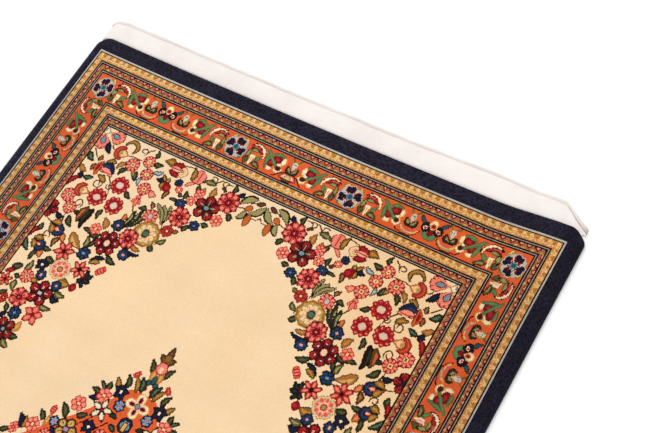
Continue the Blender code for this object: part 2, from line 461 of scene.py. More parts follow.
LEAVES = {  # blade, edge, inner blade
    "sage": ("moss", "ink", "sage"), "moss": ("pine", "ink", "moss"), "pine": ("pine", "ink", "moss"),
    "fern": ("pine", "ink", "jade"), "olive": ("olive", "ink", "ochre"), "tan": ("tan", "umber", "ochre"),
    "rust": ("rust", "umber", "apricot"), "pale": ("sage", "ink", None), "navy": ("navy", "ink", "indigo"),
    "slate": ("sky", "umber", "mist"), "rose": ("salmon", "crimson", "rose"),
    "red": ("crimson", "maroon", "ruby"), "gold": ("ochre", "rust", "gold"),
    "umber": ("umber", "ink", "tan"), "teal": ("teal", "ink", None), "curl": ("moss", "ink", "sage"),
}

SPANDREL_LEAVES = (
    # kind, x, y, length, width, angle
    ("pine", 76, -147, 18, 10, 80), ("navy", 58, -152, 15, 10, 130), ("pine", 57, -203, 16, 12, 50),
    ("umber", 94, -158, 12, 6, 20), ("sage", 126, -159, 27, 11, -8), ("tan", 111, -171, 22, 12, 95),
    ("tan", 130, -176, 14, 8, 110), ("pine", 141, -177, 16, 8, 80), ("olive", 166, -154, 30, 10, 78),
    ("rose", 160, -178, 20, 8, -44), ("olive", 220, -154, 24, 17, -4), ("moss", 238, -167, 19, 12, 172),
    ("pine", 253, -150, 18, 8, 80), ("slate", 229, -181, 21, 9, 155), ("fern", 266, -208, 20, 12, 250),
    ("tan", 273, -203, 16, 7, 240), ("moss", 296, -210, 20, 11, -64), ("tan", 305, -200, 20, 9, -60),
    ("moss", 256, -248, 18, 11, 214), ("slate", 253, -215, 18, 7, 260), ("rose", 214, -225, 18, 13, 190),
    ("umber", 190, -216, 19, 9, -78), ("umber", 166, -204, 11, 7, 40), ("pine", 156, -198, 18, 9, 80),
    ("pine", 172, -219, 19, 6, -8), ("pine", 87, -235, 15, 9, 172), ("moss", 117, -259, 18, 10, -66),
    ("olive", 130, -271, 10, 8, 160), ("umber", 201, -245, 13, 9, 55), ("moss", 213, -259, 16, 9, -10),
    ("rust", 236, -288, 15, 8, 90), ("sage", 143, -299, 17, 10, 130), ("moss", 152, -319, 16, 11, 215),
    ("tan", 178, -331, 26, 8, 186), ("navy", 181, -341, 40, 8, 178), ("moss", 206, -372, 26, 12, 200),
    ("navy", 231, -383, 30, 9, -32), ("olive", 233, -391, 24, 10, -30), ("olive", 259, -447, 27, 20, 180),
    ("pine", 264, -343, 22, 8, 150), ("pine", 284, -343, 24, 8, 8), ("sage", 272, -361, 24, 12, 76),
    ("pine", 261, -357, 22, 7, 96), ("rust", 316, -375, 18, 11, 240), ("umber", 326, -388, 22, 11, -80),
    ("moss", 326, -341, 27, 13, 228), ("navy", 352, -339, 18, 10, 186), ("pine", 283, -305, 22, 9, -88),
    ("tan", 262, -315, 24, 14, 60), ("pine", 325, -319, 12, 8, 160), ("fern", 371, -208, 24, 13, 220),
    ("tan", 371, -236, 20, 11, 205), ("fern", 350, -247, 22, 10, 160), ("navy", 366, -251, 15, 12, 250),
    ("red", 375, -268, 30, 11, -66), ("umber", 353, -203, 14, 8, 84), ("umber", 355, -226, 14, 8, -84),
    ("fern", 374, -374, 22, 11, 104), ("red", 377, -386, 22, 9, -75), ("pine", 331, -405, 20, 9, 178),
    ("rust", 338, -420, 18, 13, -110), ("pine", 349, -429, 26, 9, -86), ("pine", 311, -421, 22, 13, 190),
    ("fern", 373, -415, 30, 12, 228), ("sage", 342, -448, 24, 12, 98), ("moss", 361, -457, 21, 15, 150),
    ("red", 369, -474, 20, 10, -30), ("olive", 314, -466, 18, 12, 152), ("pine", 351, -477, 14, 9, 20),
    ("sage", 343, -494, 22, 14, 250), ("sage", 263, -502, 26, 11, 176), ("navy", 256, -482, 20, 12, 180),
    ("sage", 253, -470, 24, 13, 180), ("moss", 282, -571, 24, 12, 176), ("sage", 287, -590, 24, 12, 205),
    ("gold", 289, -554, 24, 15, 110), ("moss", 331, -534, 15, 10, 60), ("navy", 326, -550, 19, 9, -66),
    ("pine", 356, -512, 18, 9, 140), ("sage", 372, -532, 26, 12, 240), ("olive", 350, -558, 22, 11, 100),
    ("rust", 367, -590, 18, 10, 250), ("pine", 300, -614, 22, 10, 190), ("moss", 298, -640, 24, 11, 172),
    ("sage", 345, -610, 22, 11, 60), ("olive", 372, -640, 24, 12, 110), ("navy", 312, -668, 22, 10, 200),
    ("moss", 318, -697, 22, 11, 186), ("pine", 350, -664, 18, 9, 80), ("sage", 364, -702, 22, 11, 120),
    ("moss", 342, -738, 22, 10, 190), ("rust", 372, -748, 16, 10, 100), ("fern", 350, -766, 20, 10, 180),
)

SPANDREL_FLOWERS = (
    # kind, x, y, radius, angle
    ("round", 131, -186, 11, 0), ("round", 139, -205, 10, 20), ("petal", 72, -177, 24, 22),
    ("disc", 104, -205, 26, 0), ("round", 73, -219, 13, 0), ("blue", 105, -246, 12, 0),
    ("blue", 154, -218, 12, 0), ("petal", 140, -243, 22, 10), ("red", 145, -277, 13, 0),
    ("palering", 191, -266, 15, 0), ("olive", 177, -299, 26, 0), ("petal", 203, -322, 21, 0),
    ("ring", 235, -223, 14, 0), ("ring", 248, -195, 13, 0), ("ring", 259, -170, 13, 0),
    ("ring", 285, -189, 15, 0), ("fork", 234, -250, 11, 266), ("bead", 282, -237, 20, 0),
    ("bead", 268, -278, 20, 10), ("bead", 309, -277, 20, 5), ("ring", 363, -296, 15, 0),
    ("ring", 345, -317, 14, 0), ("bluedisc", 380, -334, 19, 20), ("navy", 236, -308, 14, 0),
    ("disc6", 234, -347, 27, 10), ("navy", 192, -353, 13, 0), ("round", 271, -332, 12, 0),
    ("blue", 262, -383, 15, 0), ("globe", 336, -366, 14, 20), ("globe", 350, -406, 13, 20),
    ("star", 298, -396, 21, 10), ("star", 249, -413, 18, 0), ("pale", 283, -429, 20, 0),
    ("pinkbud", 211, -398, 11, -60), ("berry", 240, -448, 8, 0), ("dark", 320, -436, 13, 0),
    ("bud", 319, -177, 15, 0), ("bud", 343, -276, 15, 0), ("blue", 181, -183, 9, 0),
    ("round", 173, -195, 8, 0), ("berry", 198, -202, 9, 0), ("navy", 309, -454, 12, 0),
    ("navy", 269, -459, 12, 0), ("ring", 332, -468, 14, 0), ("rosedisc", 289, -484, 25, 0),
    ("cluster", 320, -508, 20, 15), ("widestar", 275, -524, 19, 0), ("red", 346, -522, 10, 0),
    ("star", 367, -491, 14, 0), ("blue", 308, -536, 15, 0), ("disc", 308, -570, 23, 36),
    ("ring", 348, -582, 14, 0), ("round", 371, -560, 13, 0), ("blue", 326, -600, 13, 0),
    ("cluster", 323, -634, 20, 0), ("red", 358, -634, 12, 0), ("navy", 369, -612, 12, 0),
    ("ring", 342, -686, 14, 0), ("disc", 374, -670, 19, 0), ("blue", 330, -718, 12, 0),
    ("round", 366, -724, 13, 0), ("red", 372, -766, 13, 0),
)

MEDALLION_LEAVES = (
    ("moss", 19, -502, 26, 10, 64), ("gold", 9, -514, 22, 10, 84), ("olive", 25, -542, 32, 10, 60),
    ("fern", 29, -608, 14, 7, 0), ("pine", 41, -544, 25, 10, 66), ("olive", 56, -556, 22, 11, 62),
    ("pine", 67, -566, 18, 9, 88), ("fern", 77, -571, 18, 7, 40), ("moss", 83, -584, 18, 10, 10),
    ("navy", 79, -597, 18, 10, -10), ("moss", 79, -629, 22, 11, 148), ("pine", 113, -638, 28, 13, 50),
    ("pine", 143, -663, 20, 11, 50), ("gold", 129, -664, 24, 9, 96), ("navy", 112, -680, 24, 10, 70),
    ("navy", 172, -687, 28, 10, 55), ("olive", 163, -687, 24, 8, 78), ("pine", 188, -712, 22, 10, 140),
    ("moss", 206, -738, 24, 11, 110), ("sage", 204, -752, 20, 9, 60), ("pine", 216, -766, 24, 12, 0),
)

MEDALLION_FLOWERS = (
    ("pinkbud", 33, -527, 7, -50), ("dark", 41, -566, 14, 0), ("round", 64, -585, 14, 0),
    ("white", 53, -608, 20, 0), ("round", 96, -617, 15, 20), ("pinkbud", 129, -646, 8, 90),
    ("sky", 116, -662, 10, 0), ("round", 147, -684, 14, 0), ("round", 174, -704, 10, 0),
    ("round", 194, -740, 14, 0), ("sky", 29, -587, 12, 0), ("dark", 56, -642, 13, 0),
    ("white", 140, -716, 17, 0), ("disc", 98, -716, 23, 0), ("sky", 60, -690, 15, 0),
    ("ring", 117, -690, 12, 0), ("navy", 70, -726, 13, 0), ("ring", 28, -648, 14, 0),
    ("blue", 166, -748, 14, 0), ("red", 124, -752, 14, 0), ("white", 30, -692, 17, 0),
)


def scatter(pen, leaves, flowers):
    """Draws the leaves of a table, and its flowers over them."""
    for kind, x, y, length, width, turn in leaves:
        leaf(pen.at(x, y, turn), length, width, kind)
    for kind, x, y, r, turn in flowers:
        FLOWERS[kind](pen.at(x, y, turn, r, r))


def centre_fan(pen):
    """The spray of leaves at the middle of each end of the field. Each pale one is shaded along one side."""
    pen.line([(0, -178), (5, -185), (16, -185)], "umber")
    pen.line([(16, -158), (24, -155), (32, -160)], "umber")
    pen.line([(28, -164), (30, -172), (48, -176)], "umber")
    for kind, x, y, turn, length, width, shade in (
        ("umber", 14, -153, -25, 18, 9, 0),
        ("pale", 37, -158, -36, 35, 14, 2),
        ("pale", 15, -168, -43, 37, 13, -2),
        ("rust", 31, -171, -45, 18, 12, 0),
        ("pale", 38, -187, -62, 22, 12, -2),
        ("rust", 22, -194, -86, 27, 13, 0),
    ):
        own = pen.at(x, y, turn).at(-length / 2, 0)
        blade = petal(length, width * 0.8, 0.45, 0.06 * shade)
        own.at(0, shade).fill(blade, "ink", "ink")
        own.fill(blade, *LEAVES[kind][:2])


def corner_palmette(pen):
    """Two long pink lobes that open from the corner of the field, each with a blue drop."""
    for x, y, turn in ((369, -148, 189), (377, -151, 254)):
        own = pen.at(x, y, turn)
        own.fill(petal(37, 29, 0.66), "salmon", "crimson")
        for rise in (-9, -3, 3, 9):
            own.at(34 - abs(rise) * 0.5, rise).fill(blob(3.4), "salmon", "crimson")
        own.fill(petal(32, 20, 0.66), "salmon", "rose")
        own.fill(petal(20, 9.5, 0.66, start=6), "sky", "maroon")
    leaf(pen.at(349, -178, 236), 28, 12, "navy")
    pen.at(376, -148).fill(blob(6, 6, 4, 0.1), "cream", "ink")
    pen.at(379, -146).fill(blob(2.4), "sky")


def spandrel(pen):
    """The dense flowers of a corner of the field."""
    for x, y, r, turn, turns in (
        (90, -145, 7, -23, 1),
        (128, -144, 8, 220, -1),
        (275, -161, 8, 47, 1),
        (318, -246, 10, -37, -1.2),
        (329, -311, 10, 59, 1.15),
        (345, -386, 8, 30, 1),
        (306, -246, 7, 200, 1),
    ):
        tendril(pen.at(x, y, turn), r, turns)
    for route in (
        [(82, -144), (91, -145)],
        [(104, -142), (110, -146), (119, -160), (128, -161)],
        [(150, -146), (176, -144), (200, -150)],
        [(262, -144), (270, -149), (275, -161)],
        [(375, -190), (366, -200), (352, -210)],
        [(318, -226), (304, -238), (296, -256), (290, -275)],
        [(274, -173), (290, -173), (306, -177)],
        [(332, -178), (340, -176), (346, -171)],
        [(384, -348), (366, -355), (352, -360)],
        [(160, -270), (156, -290), (150, -310)],
        [(234, -262), (226, -274)],
        [(345, -330), (340, -348)],
    ):
        pen.line(route, "umber")
    centre_fan(pen)
    corner_palmette(pen)
    hook(pen.at(309, -159), 13, "olive")
    pen.at(152, -156).fill(blob(13, 13, 5, 0.06, 90), "salmon", "crimson")
    for x in (145, 150, 155, 160):
        pen.line([(x, -147), (x, -165)], "rose" if x % 2 else "ruby")
    plume(pen.at(164, -271), ((86, 42, 7), (66, 40, 9), (48, 46, 8)), ("sage", "ink", "moss"))
    plume(pen.at(230, -310), ((124, 56, 8), (111, 56, 8), (99, 44, 8)), ("pine", "ink", "sage"))
    for turn, kind in ((120, "olive"), (60, "olive"), (180, "red"), (0, "navy"), (250, "olive")):
        leaf(pen.at(209, -195, turn).at(8, 0), 17, 10, kind)
    feather(pen.at(300, -323, 275), 46, 16, ("ink", "ink", "pine"))
    feather(pen.at(312, -319, 278), 38, 16, ("umber", "ink", "rust"))
    feather(pen.at(291, -368, 212), 38, 20, ("tan", "umber", "gold"))
    dark_star = ((100, 18, 7), (145, 20, 7), (190, 19, 7), (240, 20, 7), (285, 14, 7))
    plume(pen.at(234, -424), dark_star, ("navy", "ink", "pine"))
    scatter(pen, SPANDREL_LEAVES, SPANDREL_FLOWERS)
    pink_lily(pen.at(200, -159, 180))
    blue_lily(pen.at(330, -217))


def medallion(pen):
    """The flower-edged medallion in the middle of the field, with a leafy finial."""
    ground = [(0, -550), (28, -554), (44, -577), (62, -600), (90, -634), (118, -664), (146, -696)]
    ground += [(172, -724), (190, -750), (196, -790), (0, -790)]
    pen.fill(ground, "flame")
    for route in (
        [(0, -668), (30, -672), (52, -700), (90, -740), (150, -760)],
        [(60, -625), (86, -660), (120, -700), (170, -735)],
        [(30, -620), (44, -640), (36, -664)],
        [(60, -766), (86, -752), (110, -758), (140, -766)],
    ):
        pen.line(route, "maroon")
    for x, y, turn in ((20, -626, 20), (40, -660, 300), (84, -690, 200), (110, -738, 120), (150, -726, 20)):
        leaf(pen.at(x, y, turn), 18, 9, "fern")
    cinquefoil(pen.at(89, -664, 31, 21, 21))
    scatter(pen, MEDALLION_LEAVES, MEDALLION_FLOWERS)
    finial(pen)
    cross_flower(pen.at(0, -574, 0, 23, 23))
    pen.at(0, -611).fill(blob(12, 13), "indigo", "ink")
    pen.at(0, -612).fill(blob(8, 9, 6, 0.12), "sky", "navy")
    pen.at(0, -614).fill(blob(4, 8), "gold", "umber")
    centre_rosette(pen.at(0, -766))


def finial(pen):
    """The leaves and bud at the medallion's tip."""
    for turn, length in ((90, 30), (32, 17), (148, 17)):
        pen.at(0, -487, turn).fill(petal(length, 11, 0.42), "umber", "ink")
        pen.at(0, -487, turn).fill(petal(length * 0.7, 4, 0.42), "olive")
    pen.at(0, -479).fill(blob(5, 7), "olive", "umber")
    pen.at(0, -499).fill(blob(10, 10, 3, 0.06, 90), "salmon", "crimson")
    pen.at(0, -502).fill(blob(4, 6), "blush", "rose")
    pen.at(0, -524, 90).fill(petal(16, 7, 0.5, start=-6), "teal", "pine")
    for way in (1, -1):
        pen.at(way * 2, -533, 90 - way * 60).fill(petal(10, 5), "teal", "pine")
        pen.at(way * 7, -541, 90 - way * 20).fill(petal(12, 4, start=-5), "salmon", "ruby")
        leaf(pen.at(way * 16, -538, 90 - way * 24), 28, 11, "fern")


def cross_flower(pen):
    """Four round pale petals with dark drops, and orange lobes between them."""
    for own in pen.around(4, 45, 0.6):
        own.fill(blob(0.36, 0.3), "flame", "rust")
    for own in pen.around(4):
        own.at(0.58, 0).fill(blob(0.38, 0.34), "cream", "gold")
        own.at(0.46, 0).fill(blob(0.24, 0.15), "maroon", "rose")
    pen.fill(blob(0.18), "sky", "maroon")


def cinquefoil(pen):
    """Five gold discs in dark blue rings."""
    for own in pen.around(5, away=0.6):
        own.fill(blob(0.36), "indigo", "ink")
        own.fill(blob(0.24), "gold", "olive")
        own.ray(-0.12, 0.12, "olive")
    pen.fill(blob(0.18), "haze", "crimson")


def centre_rosette(pen):
    """The rosette at the rug's middle, where the four quarters meet."""
    pen.fill(blob(46, lobes=12, depth=0.06), "navy", "ink")
    pen.fill(blob(39, lobes=12, depth=0.08), "cream", "gold")
    for own in pen.around(12, 15):
        own.fill(petal(22, 9, 0.6, start=14), "salmon", "crimson")
    pen.fill(blob(14, lobes=6, depth=0.1), "indigo", "ink")
    pen.fill(blob(8), "sky")
    pen.fill(blob(4), "crimson")


def border_rosette(pen):
    """A pale disc with four dark heart-shaped petals, as on a pinwheel."""
    pen.fill(blob(21, lobes=8, depth=0.07, turn=12), "silver", "sage")
    for own in pen.around(4, 108):
        for way in (1, -1):
            own.at(1.5, 0, way * 16).fill(petal(21, 10, 0.76), "navy", "silver")
        own.at(1, 0).fill(petal(17, 8, 0.66, start=3), "navy")
        own.line([(9, 1), (15, 1)], "maroon")
        between = own.at(0, 0, 45)
        between.ray(6, 17, "chalk")
        between.line([(7, 2), (16, 3)], "crimson")
        between.line([(7, -2), (16, -3)], "crimson")
    pen.fill(blob(4.8), "teal", "sky")


def twin_flower(pen):
    """Two dark rings side by side, with a pale petal above and a green foot."""
    foot = [(-13, -6), (-11, -13), (-6, -18), (-2, -19), (0, -15)]
    foot += [(-x, y) for x, y in foot[3::-1]] + [(0, -8)]
    pen.fill(foot, "fern", "moss")
    for way in (1, -1):
        leaf(pen.at(way * 21.5, 17, 90 - way * 42), 17, 7, "teal")
        own = pen.at(way * 12.8, 3.4)
        own.at(-way * 0.9, 0).fill(blob(7.8, 8.6), "navy", "ink")
        eye = own.at(-way * 0.6, -0.8, -way * 35)
        eye.fill(blob(4.8, 3.2), "blush")
        eye.fill(blob(3.2, 1.7), "ruby")
    pen.at(0, 12).fill(blob(6, 8), "cream", "gold")
    pen.at(0, 9).fill(blob(2.8, 4), "crimson", "rust")
    pen.at(0, -4.5).fill(blob(2.8, 6), "crimson", "maroon")
    pen.at(0, 3).fill(blob(1.8), "blush")


def bud(pen):
    """A pale flower that stands in a bowl of two dark-edged leaves."""
    for way in (1, -1):
        pen.line([(way * 3, 18), (way * 9, 25)], "moss")
        pen.line([(way * 4, 18), (way * 10, 24)], "olive")
    pen.at(0, 11.5).fill(blob(5, 7.6, 6, 0.06), "chalk", "tan")
    pen.at(1, 13).fill(blob(1.6), "teal")
    pen.line([(-3, 8), (-3, 14)], "sage")
    for way in (1, -1):
        own = pen.at(way * 4.4, -1, 90 - way * 40)
        own.fill(petal(18, 9.5, 0.5, way * -0.18, start=-9), "pine", "ink")
        own.fill(petal(12, 4, 0.5, way * -0.12, start=-5.5), "sage")
    pen.line([(0, 8), (0, 0)], "chalk")


def cup(pen):
    """The shallow striped cup beneath a bud, on a dark vine."""
    pen.line([(-22, -9), (-17, -18), (-8, -24), (6, -25), (20, -22), (27, -15)], "maroon")
    rim = [(-20, -9), (-16, -16), (-8, -21), (4, -22), (12, -18), (16, -8), (11, -12), (2, -15), (-8, -14)]
    pen.fill(rim, "honey", "rust")
    inside = [(-18, -9), (-12, -16), (0, -19), (8, -16), (12, -9), (2, -14), (-8, -12)]
    pen.fill(inside, "coral")
    pen.line([(-8, -21), (2, -22), (10, -19)], "sage")


def bud_foot(pen):
    """The pale petals and dark shoots beneath the middle bud."""
    for way in (1, -1):
        pen.at(way * 9, -15, -way * 34).fill(petal(19, 9, start=-9), "coral", "crimson")
        pen.at(way * 8, -15, -way * 34).fill(petal(12, 4, start=-6), "blush")
        pen.line([(way * 9, -9), (way * 18, -12), (way * 24, -18), (way * 31, -24)], "maroon")
    pen.at(0, -17).fill(blob(6, 5, 3, 0.1, 90), "honey", "olive")
    pen.at(0, -23).fill(blob(9, 2), "moss", "ink")


def tulip_cluster(pen):
    """Two red hearts on a slanting stem in a green bracket, with pale flowers on the far side."""
    for x, y, rx, ry in ((18, 8, 3.4, 6.8), (14, -9.5, 7.4, 6.6), (-4, -14, 5.2, 3.6), (12, 1, 3.4, 3.6)):
        pen.at(x, y).fill(blob(rx, ry, 5, 0.06), "cream", "gold")
    for x, y, rx, ry in ((5, 8, 9, 5.8), (-5, -3, 5.8, 6.4)):
        pen.at(x, y).fill(blob(rx, ry, 3, 0.12, 60), "crimson", "maroon")
        pen.at(x, y).fill(blob(rx * 0.5, ry * 0.5), "ruby")
    pen.at(4, 17, 5).fill(petal(24, 4.4, 0.5, 0.05, start=-12), "fern", "moss")
    pen.at(-14, -3, -78).fill(petal(30, 4.8, 0.4, start=-15), "fern", "moss")
    stem = [(-24, 22), (-16, 18), (-9, 11), (1, 2), (11, -6), (8, -8), (-2, 0), (-12, 8), (-19, 15)]
    pen.fill(stem, "fern", "moss")
    pen.at(14, -8).fill(blob(3.8), "maroon", "umber")


def saz_curl(pen):
    """A long leaf that arches over a small upright flower."""
    pen.at(-14, -15, 100).fill(petal(18, 8, start=-9), "moss", "pine")
    pen.at(9, -6, 60).fill(petal(14, 6, start=-7), "fern", "moss")
    pen.fill([(-8, -2), (1.5, -3), (0.5, -12), (-2, -23), (-5, -23), (-6.5, -12)], "cream", "tan")
    pen.line([(-3, -7), (-3, -16)], "gold")
    leaf(pen.at(11, -21, -20), 22, 9.5, "curl")
    pen.at(-3, 0).fill(crescent(14.5, 7, 136, 24), "ruby", "maroon")
    pen.at(-3, 0).fill(crescent(16, 2.4, 130, 60), "coral")
    pen.at(-14, -2, 82).fill(petal(24, 10, 0.5, start=-12), "ink")
    pen.at(-4, 7, 2).fill(petal(24, 9.5, 0.5, 0.06, start=-13), "ink")
    pen.at(-14, -2, 82).fill(petal(15, 5, 0.5, start=-7), "sage", "moss")
    pen.at(-4, 7, 2).fill(petal(14, 4.4, 0.5, 0.06, start=-7), "sage", "moss")
    pen.at(-3, 0).fill(crescent(20, 8.4, 138, -12), "ink")
    pen.at(-3, 0).fill(crescent(20, 5, 122, -4), "cream")
    pen.at(-3, 0).fill(crescent(18.4, 1.8, 118, 50), "tan")
    for x, y in ((-9, 22), (-2, 23), (4, 23)):
        pen.at(x, y, 160).fill(petal(7, 3, start=-3), "maroon")


def border_half(pen, stretch, long_unit):
    """The motifs from the middle of a unit of the main border to its rosette. stretch spreads them."""
    tulips, curls, edge = (78.5, 119, 148) if long_unit else (41, 81, 110)
    if long_unit:
        cup(pen.at(39.5 * stretch, 0))
        bud(pen.at(39.5 * stretch, 0))
    tulip_cluster(pen.at(tulips * stretch, 1, sx=-1))
    saz_curl(pen.at(curls * stretch, 0, sx=-1))
    pen.at(edge * stretch, 20, 52).fill(petal(14, 5, start=-8), "honey", "olive")
    pen.at(edge * stretch, -19, -50).fill(petal(13, 6, start=-7), "moss", "rust")


def band_layout():
    """Each band as (what, its outermost column and row, its knots on the sides and at the ends)."""
    column, row = HALF_COLUMNS, HALF_ROWS
    found = []
    for what, wide, deep, *_ in BANDS:
        found.append((what, column, row, wide, deep))
        column -= wide
        row -= deep
    return found, column, row


def paint_chart(knots, what, column, row, wide, deep):
    """Runs a chart along one band: across it at the end, and down it on the side."""
    chart = CHARTS[what]
    numbers = np.array([[YARN_NUMBERS[CHART_YARNS[mark]] for mark in line] for line in chart])

    def along(count, depth):
        across = (np.arange(depth) + 0.5) / depth * len(chart)
        step = (np.arange(count) / REPEAT_KNOTS + 0.5) % 1 * len(chart[0])
        return numbers[across.astype(int)][:, step.astype(int)]

    knots[: row + 1, column - wide + 1 : column + 1] = along(row + 1, wide).T[:, ::-1]
    knots[row - deep + 1 : row + 1, : column + 1] = along(column + 1, deep)[::-1]


def draw_quarter():
    """The far right quarter of the design, as yarn numbers. Row 0 and column 0 are the middle lines."""
    knots = np.full((HALF_ROWS + 1, HALF_COLUMNS + 1), YARN_NUMBERS["ivory"], np.uint8)
    pen = Pen(knots)
    medallion(pen)
    spandrel(pen)
    layers, field_columns, field_rows = band_layout()
    field = knots[: field_rows + 1, : field_columns + 1].copy()
    for what, column, row, wide, deep in layers:
        if what in CHARTS:
            paint_chart(knots, what, column, row, wide, deep)
            continue
        knots[: row + 1, : column + 1] = YARN_NUMBERS["flame" if what == "main" else what]
        if what == "main":
            main_border(pen, column, row, wide, deep)
    knots[: field_rows + 1, : field_columns + 1] = field
    return knots


def main_border(pen, column, row, wide, deep):
    """The orange border: long units between rosettes, and one short unit at the middle of each end."""
    across = (column - wide / 2 + 0.5) * KNOT_MM
    up = (row - deep / 2 + 0.5) * KNOT_MM - FAR_GUARD
    at_end, at_side = (124.4, across), (up - 2, -417.0, -766.0)
    border_half(pen.at(0, up), 1.0, long_unit=False)
    bud_foot(pen.at(0, up))
    bud(pen.at(0, up))
    middle = 287.8
    for rosette in at_end:
        way = 1 if rosette > middle else -1
        border_half(pen.at(middle, up, sx=way), abs(rosette - middle) / UNIT_HALF, long_unit=True)
    twin_flower(pen.at(middle, up))
    squash = wide / deep
    for high, low in zip(at_side, at_side[1:]):
        unit = pen.at(across, (high + low) / 2, -90, sy=squash)
        for way in (1, -1):
            border_half(unit.at(0, 0, sx=way), (high - low) / 2 / UNIT_HALF, long_unit=True)
        twin_flower(unit)
    border_rosette(pen.at(at_end[0], up - 1))
    border_rosette(pen.at(across + 1, at_side[0], sx=-0.9))
    for y in at_side[1:]:
        border_rosette(pen.at(across, y, -90, sx=0.95, sy=0.95))


# ---- The rug's form, as in the solids ----

RUG_WIDTH = 1.056
PILE_LENGTH = 1.604
PILE_THICKNESS = 0.008
SOFT_CORNER = 0.028
TIGHT_CORNER = 0.018
ARC_STEP = math.radians(5)
SELVEDGE_DIAMETER = 0.008
SELVEDGE_TURN_IN = math.radians(45)
CLOTH_THICKNESS = 0.0016
FOLD_GAP = 0.0003
HEM_WIDTH = 0.0065
RIPPLE_HEIGHT = 0.0012
RIPPLE_LENGTHS = (0.233, 0.147)
KILIM_EDGE = (
    # x,      depth
    (-0.5265, 0.0360),
    (-0.5200, 0.0470),
    (-0.4980, 0.0515),
    (-0.2000, 0.0520),
    (0.1500, 0.0515),
    (0.3400, 0.0550),
    (0.4650, 0.0465),
    (0.5210, 0.0080),
)
DRIFT_START = 0.640
END_SAG = 0.0050
CORNER_CREEP = 0.0080
CREEP_START = 0.360
CREEP_RUN = 0.140
SIDE_BOW = 0.0012
SIDE_BOW_WAVES = 1.5
GAP = 0.0003
HALF_WIDTH = RUG_WIDTH / 2
HALF_LENGTH = PILE_LENGTH / 2
PILE_HALF_WIDTH = HALF_WIDTH - SELVEDGE_DIAMETER - GAP

# ---- What only the looks need ----

# The knots and the pile's surface
KNOT_WIDTH = KNOT_MM / 1000
ROW_STRETCH = 1.005  # the knots are a little longer than wide
DESIGN_MIDDLE_X = -0.005  # the design was woven a little off the middle of the rug
DESIGN_DRIFT_START = 0.45  # the design begins to stray further in than the outline does
TILE_COLUMNS, TILE_ROWS = 3, 4  # the pile's surface is made in so many meshes
STEP_EASE = 0.25  # how far, in knots, a slanting edge's corners move toward its line
PLY_JITTER = 0.00018  # how far a knot's corners stray
ROW_WANDER, ROW_WANDER_SIZE = 0.0007, 0.35  # how far whole rows and columns of knots stray
NAP_JITTER = 0.00008  # how unevenly the pile is sheared
SWELL, SWELL_SIZE = 0.0002, 0.09  # how much the pile's height changes from place to place
MAP_MARGIN = 0.004  # round the map of each surface

# The wool's dyes and wear, and the painted shade of its sides. All sizes are in knots
YARN_SPREAD = (0.009, 0.022)  # how uneven the yarn is from knot to knot, where it is ivory and elsewhere
BATCH_SIZE = 60  # about how many rows were knotted from one batch of yarn
WEAR, WEAR_SIZE = 0.012, 170
FINE_WEAR, FINE_WEAR_SIZE = 0.010, 70
DYE_PATCHES, PATCH_SIZE = (0.03, 0.09, 0.11), 14  # how much red, green and blue stray in the borders
BORDER_EASE = 4  # over how many knots the patches begin, outside the field
FADING, FADE_SIZE = (0.004, 0.012, 0.035), 130  # how much the same three stray over the whole pile
SIDE_PAINTED_SHADES = ((0.93, 0.94, 0.97), (0.91, 0.89, 0.88))  # painted shade of the left and right sides, deeper on the right, where the tufts lean away from the light
SIDE_EASE, END_EASE = 5, 40  # over how many knots that painted shade begins, and ends again toward the rug's ends
RIGHT_PAINTED_SHADE = (0.975, 0.945, 0.9)  # painted shade of the flowers and bands on the right, whose tufts lean away from the light too
OPEN_FIELD = (150, 295)  # half the width and the length of the empty middle of the field
OPEN_START, OPEN_EASE = 0.95, 0.25  # where the flowers begin, as a share of that
RIGHT_EASE = 125  # over how many knots from the rug's middle line that painted shade deepens

# The plain navy band round the pile
PILE_RIM_ROUND = 0.0013
PILE_FLARE = 0.0018  # how far the outermost tufts lean out over the edge
BAND_FOOT = 0.0012  # how high its outer side ends above the floor
BAND_RINGS = 6
BAND_NAP = 1.5  # how much rougher it is than the patterned pile
NAVY_SHADE_WIDTH = 0.03
NAVY_PAINTED_SHADE = 0.86  # painted shade on the navy band of the right side, whose tufts lean away from the light

# The foundation
FOUNDATION_TOP = 0.003
FOUNDATION_INSET = 0.0012
BACK_CELL = 0.006

# The wrapped sides
CORD_PAINTED_SHADES = {1: 0.62, -1: 1.0}  # painted shade of the right and left one: the right one is darker
CORD_SIDES = 8
PATH_POINTS = 2000
WRAP_PITCH = 0.0032
WRAP_STEPS = 3  # how many sections of the cord each turn of the wrapping has
WRAP_DEPTH = 0.0005
WRAP_UNEVEN = 0.00012
TUCK_LENGTH = 0.022  # the ends of a cord are tucked in under the corner of the pile
TUCK_DEPTH = 0.003
TUCK_TAPER = 0.45  # how much thinner it gets on the way

# The kilims
KILIM_STEP = 0.004
EDGE_WANDER, EDGE_WANDER_SIZE = 0.0006, 0.06  # how unevenly the outer edge runs
HEM_WANDER, HEM_WANDER_SIZE = 0.0009, 0.09  # how unevenly the hem was turned
COCKLE, COCKLE_SIZE = 0.0005, 0.035  # how far the cloth stands off the floor in small waves
HEM_BACK = ((0.3, 0.2), (0.6, 0.55), (0.86, 0.9), (1, 1))  # how far back the hem lies and has come down
HEM_TAPER = (0.8, 0.12)  # how thick the cloth still is at the last two points of its free edge
FLAT_FACES = 8  # of a section, so many at each end are the flat cloth and not its hem
COTTON = (254, 246, 241)  # sRGB, 0 to 255
COTTON_WEAVE = (0.0016, 0.0012)  # from warp to warp and from weft to weft
# painted shade of the hem, where the cloth lies doubled
HEM_SHADED_COTTON = (244, 233, 225)
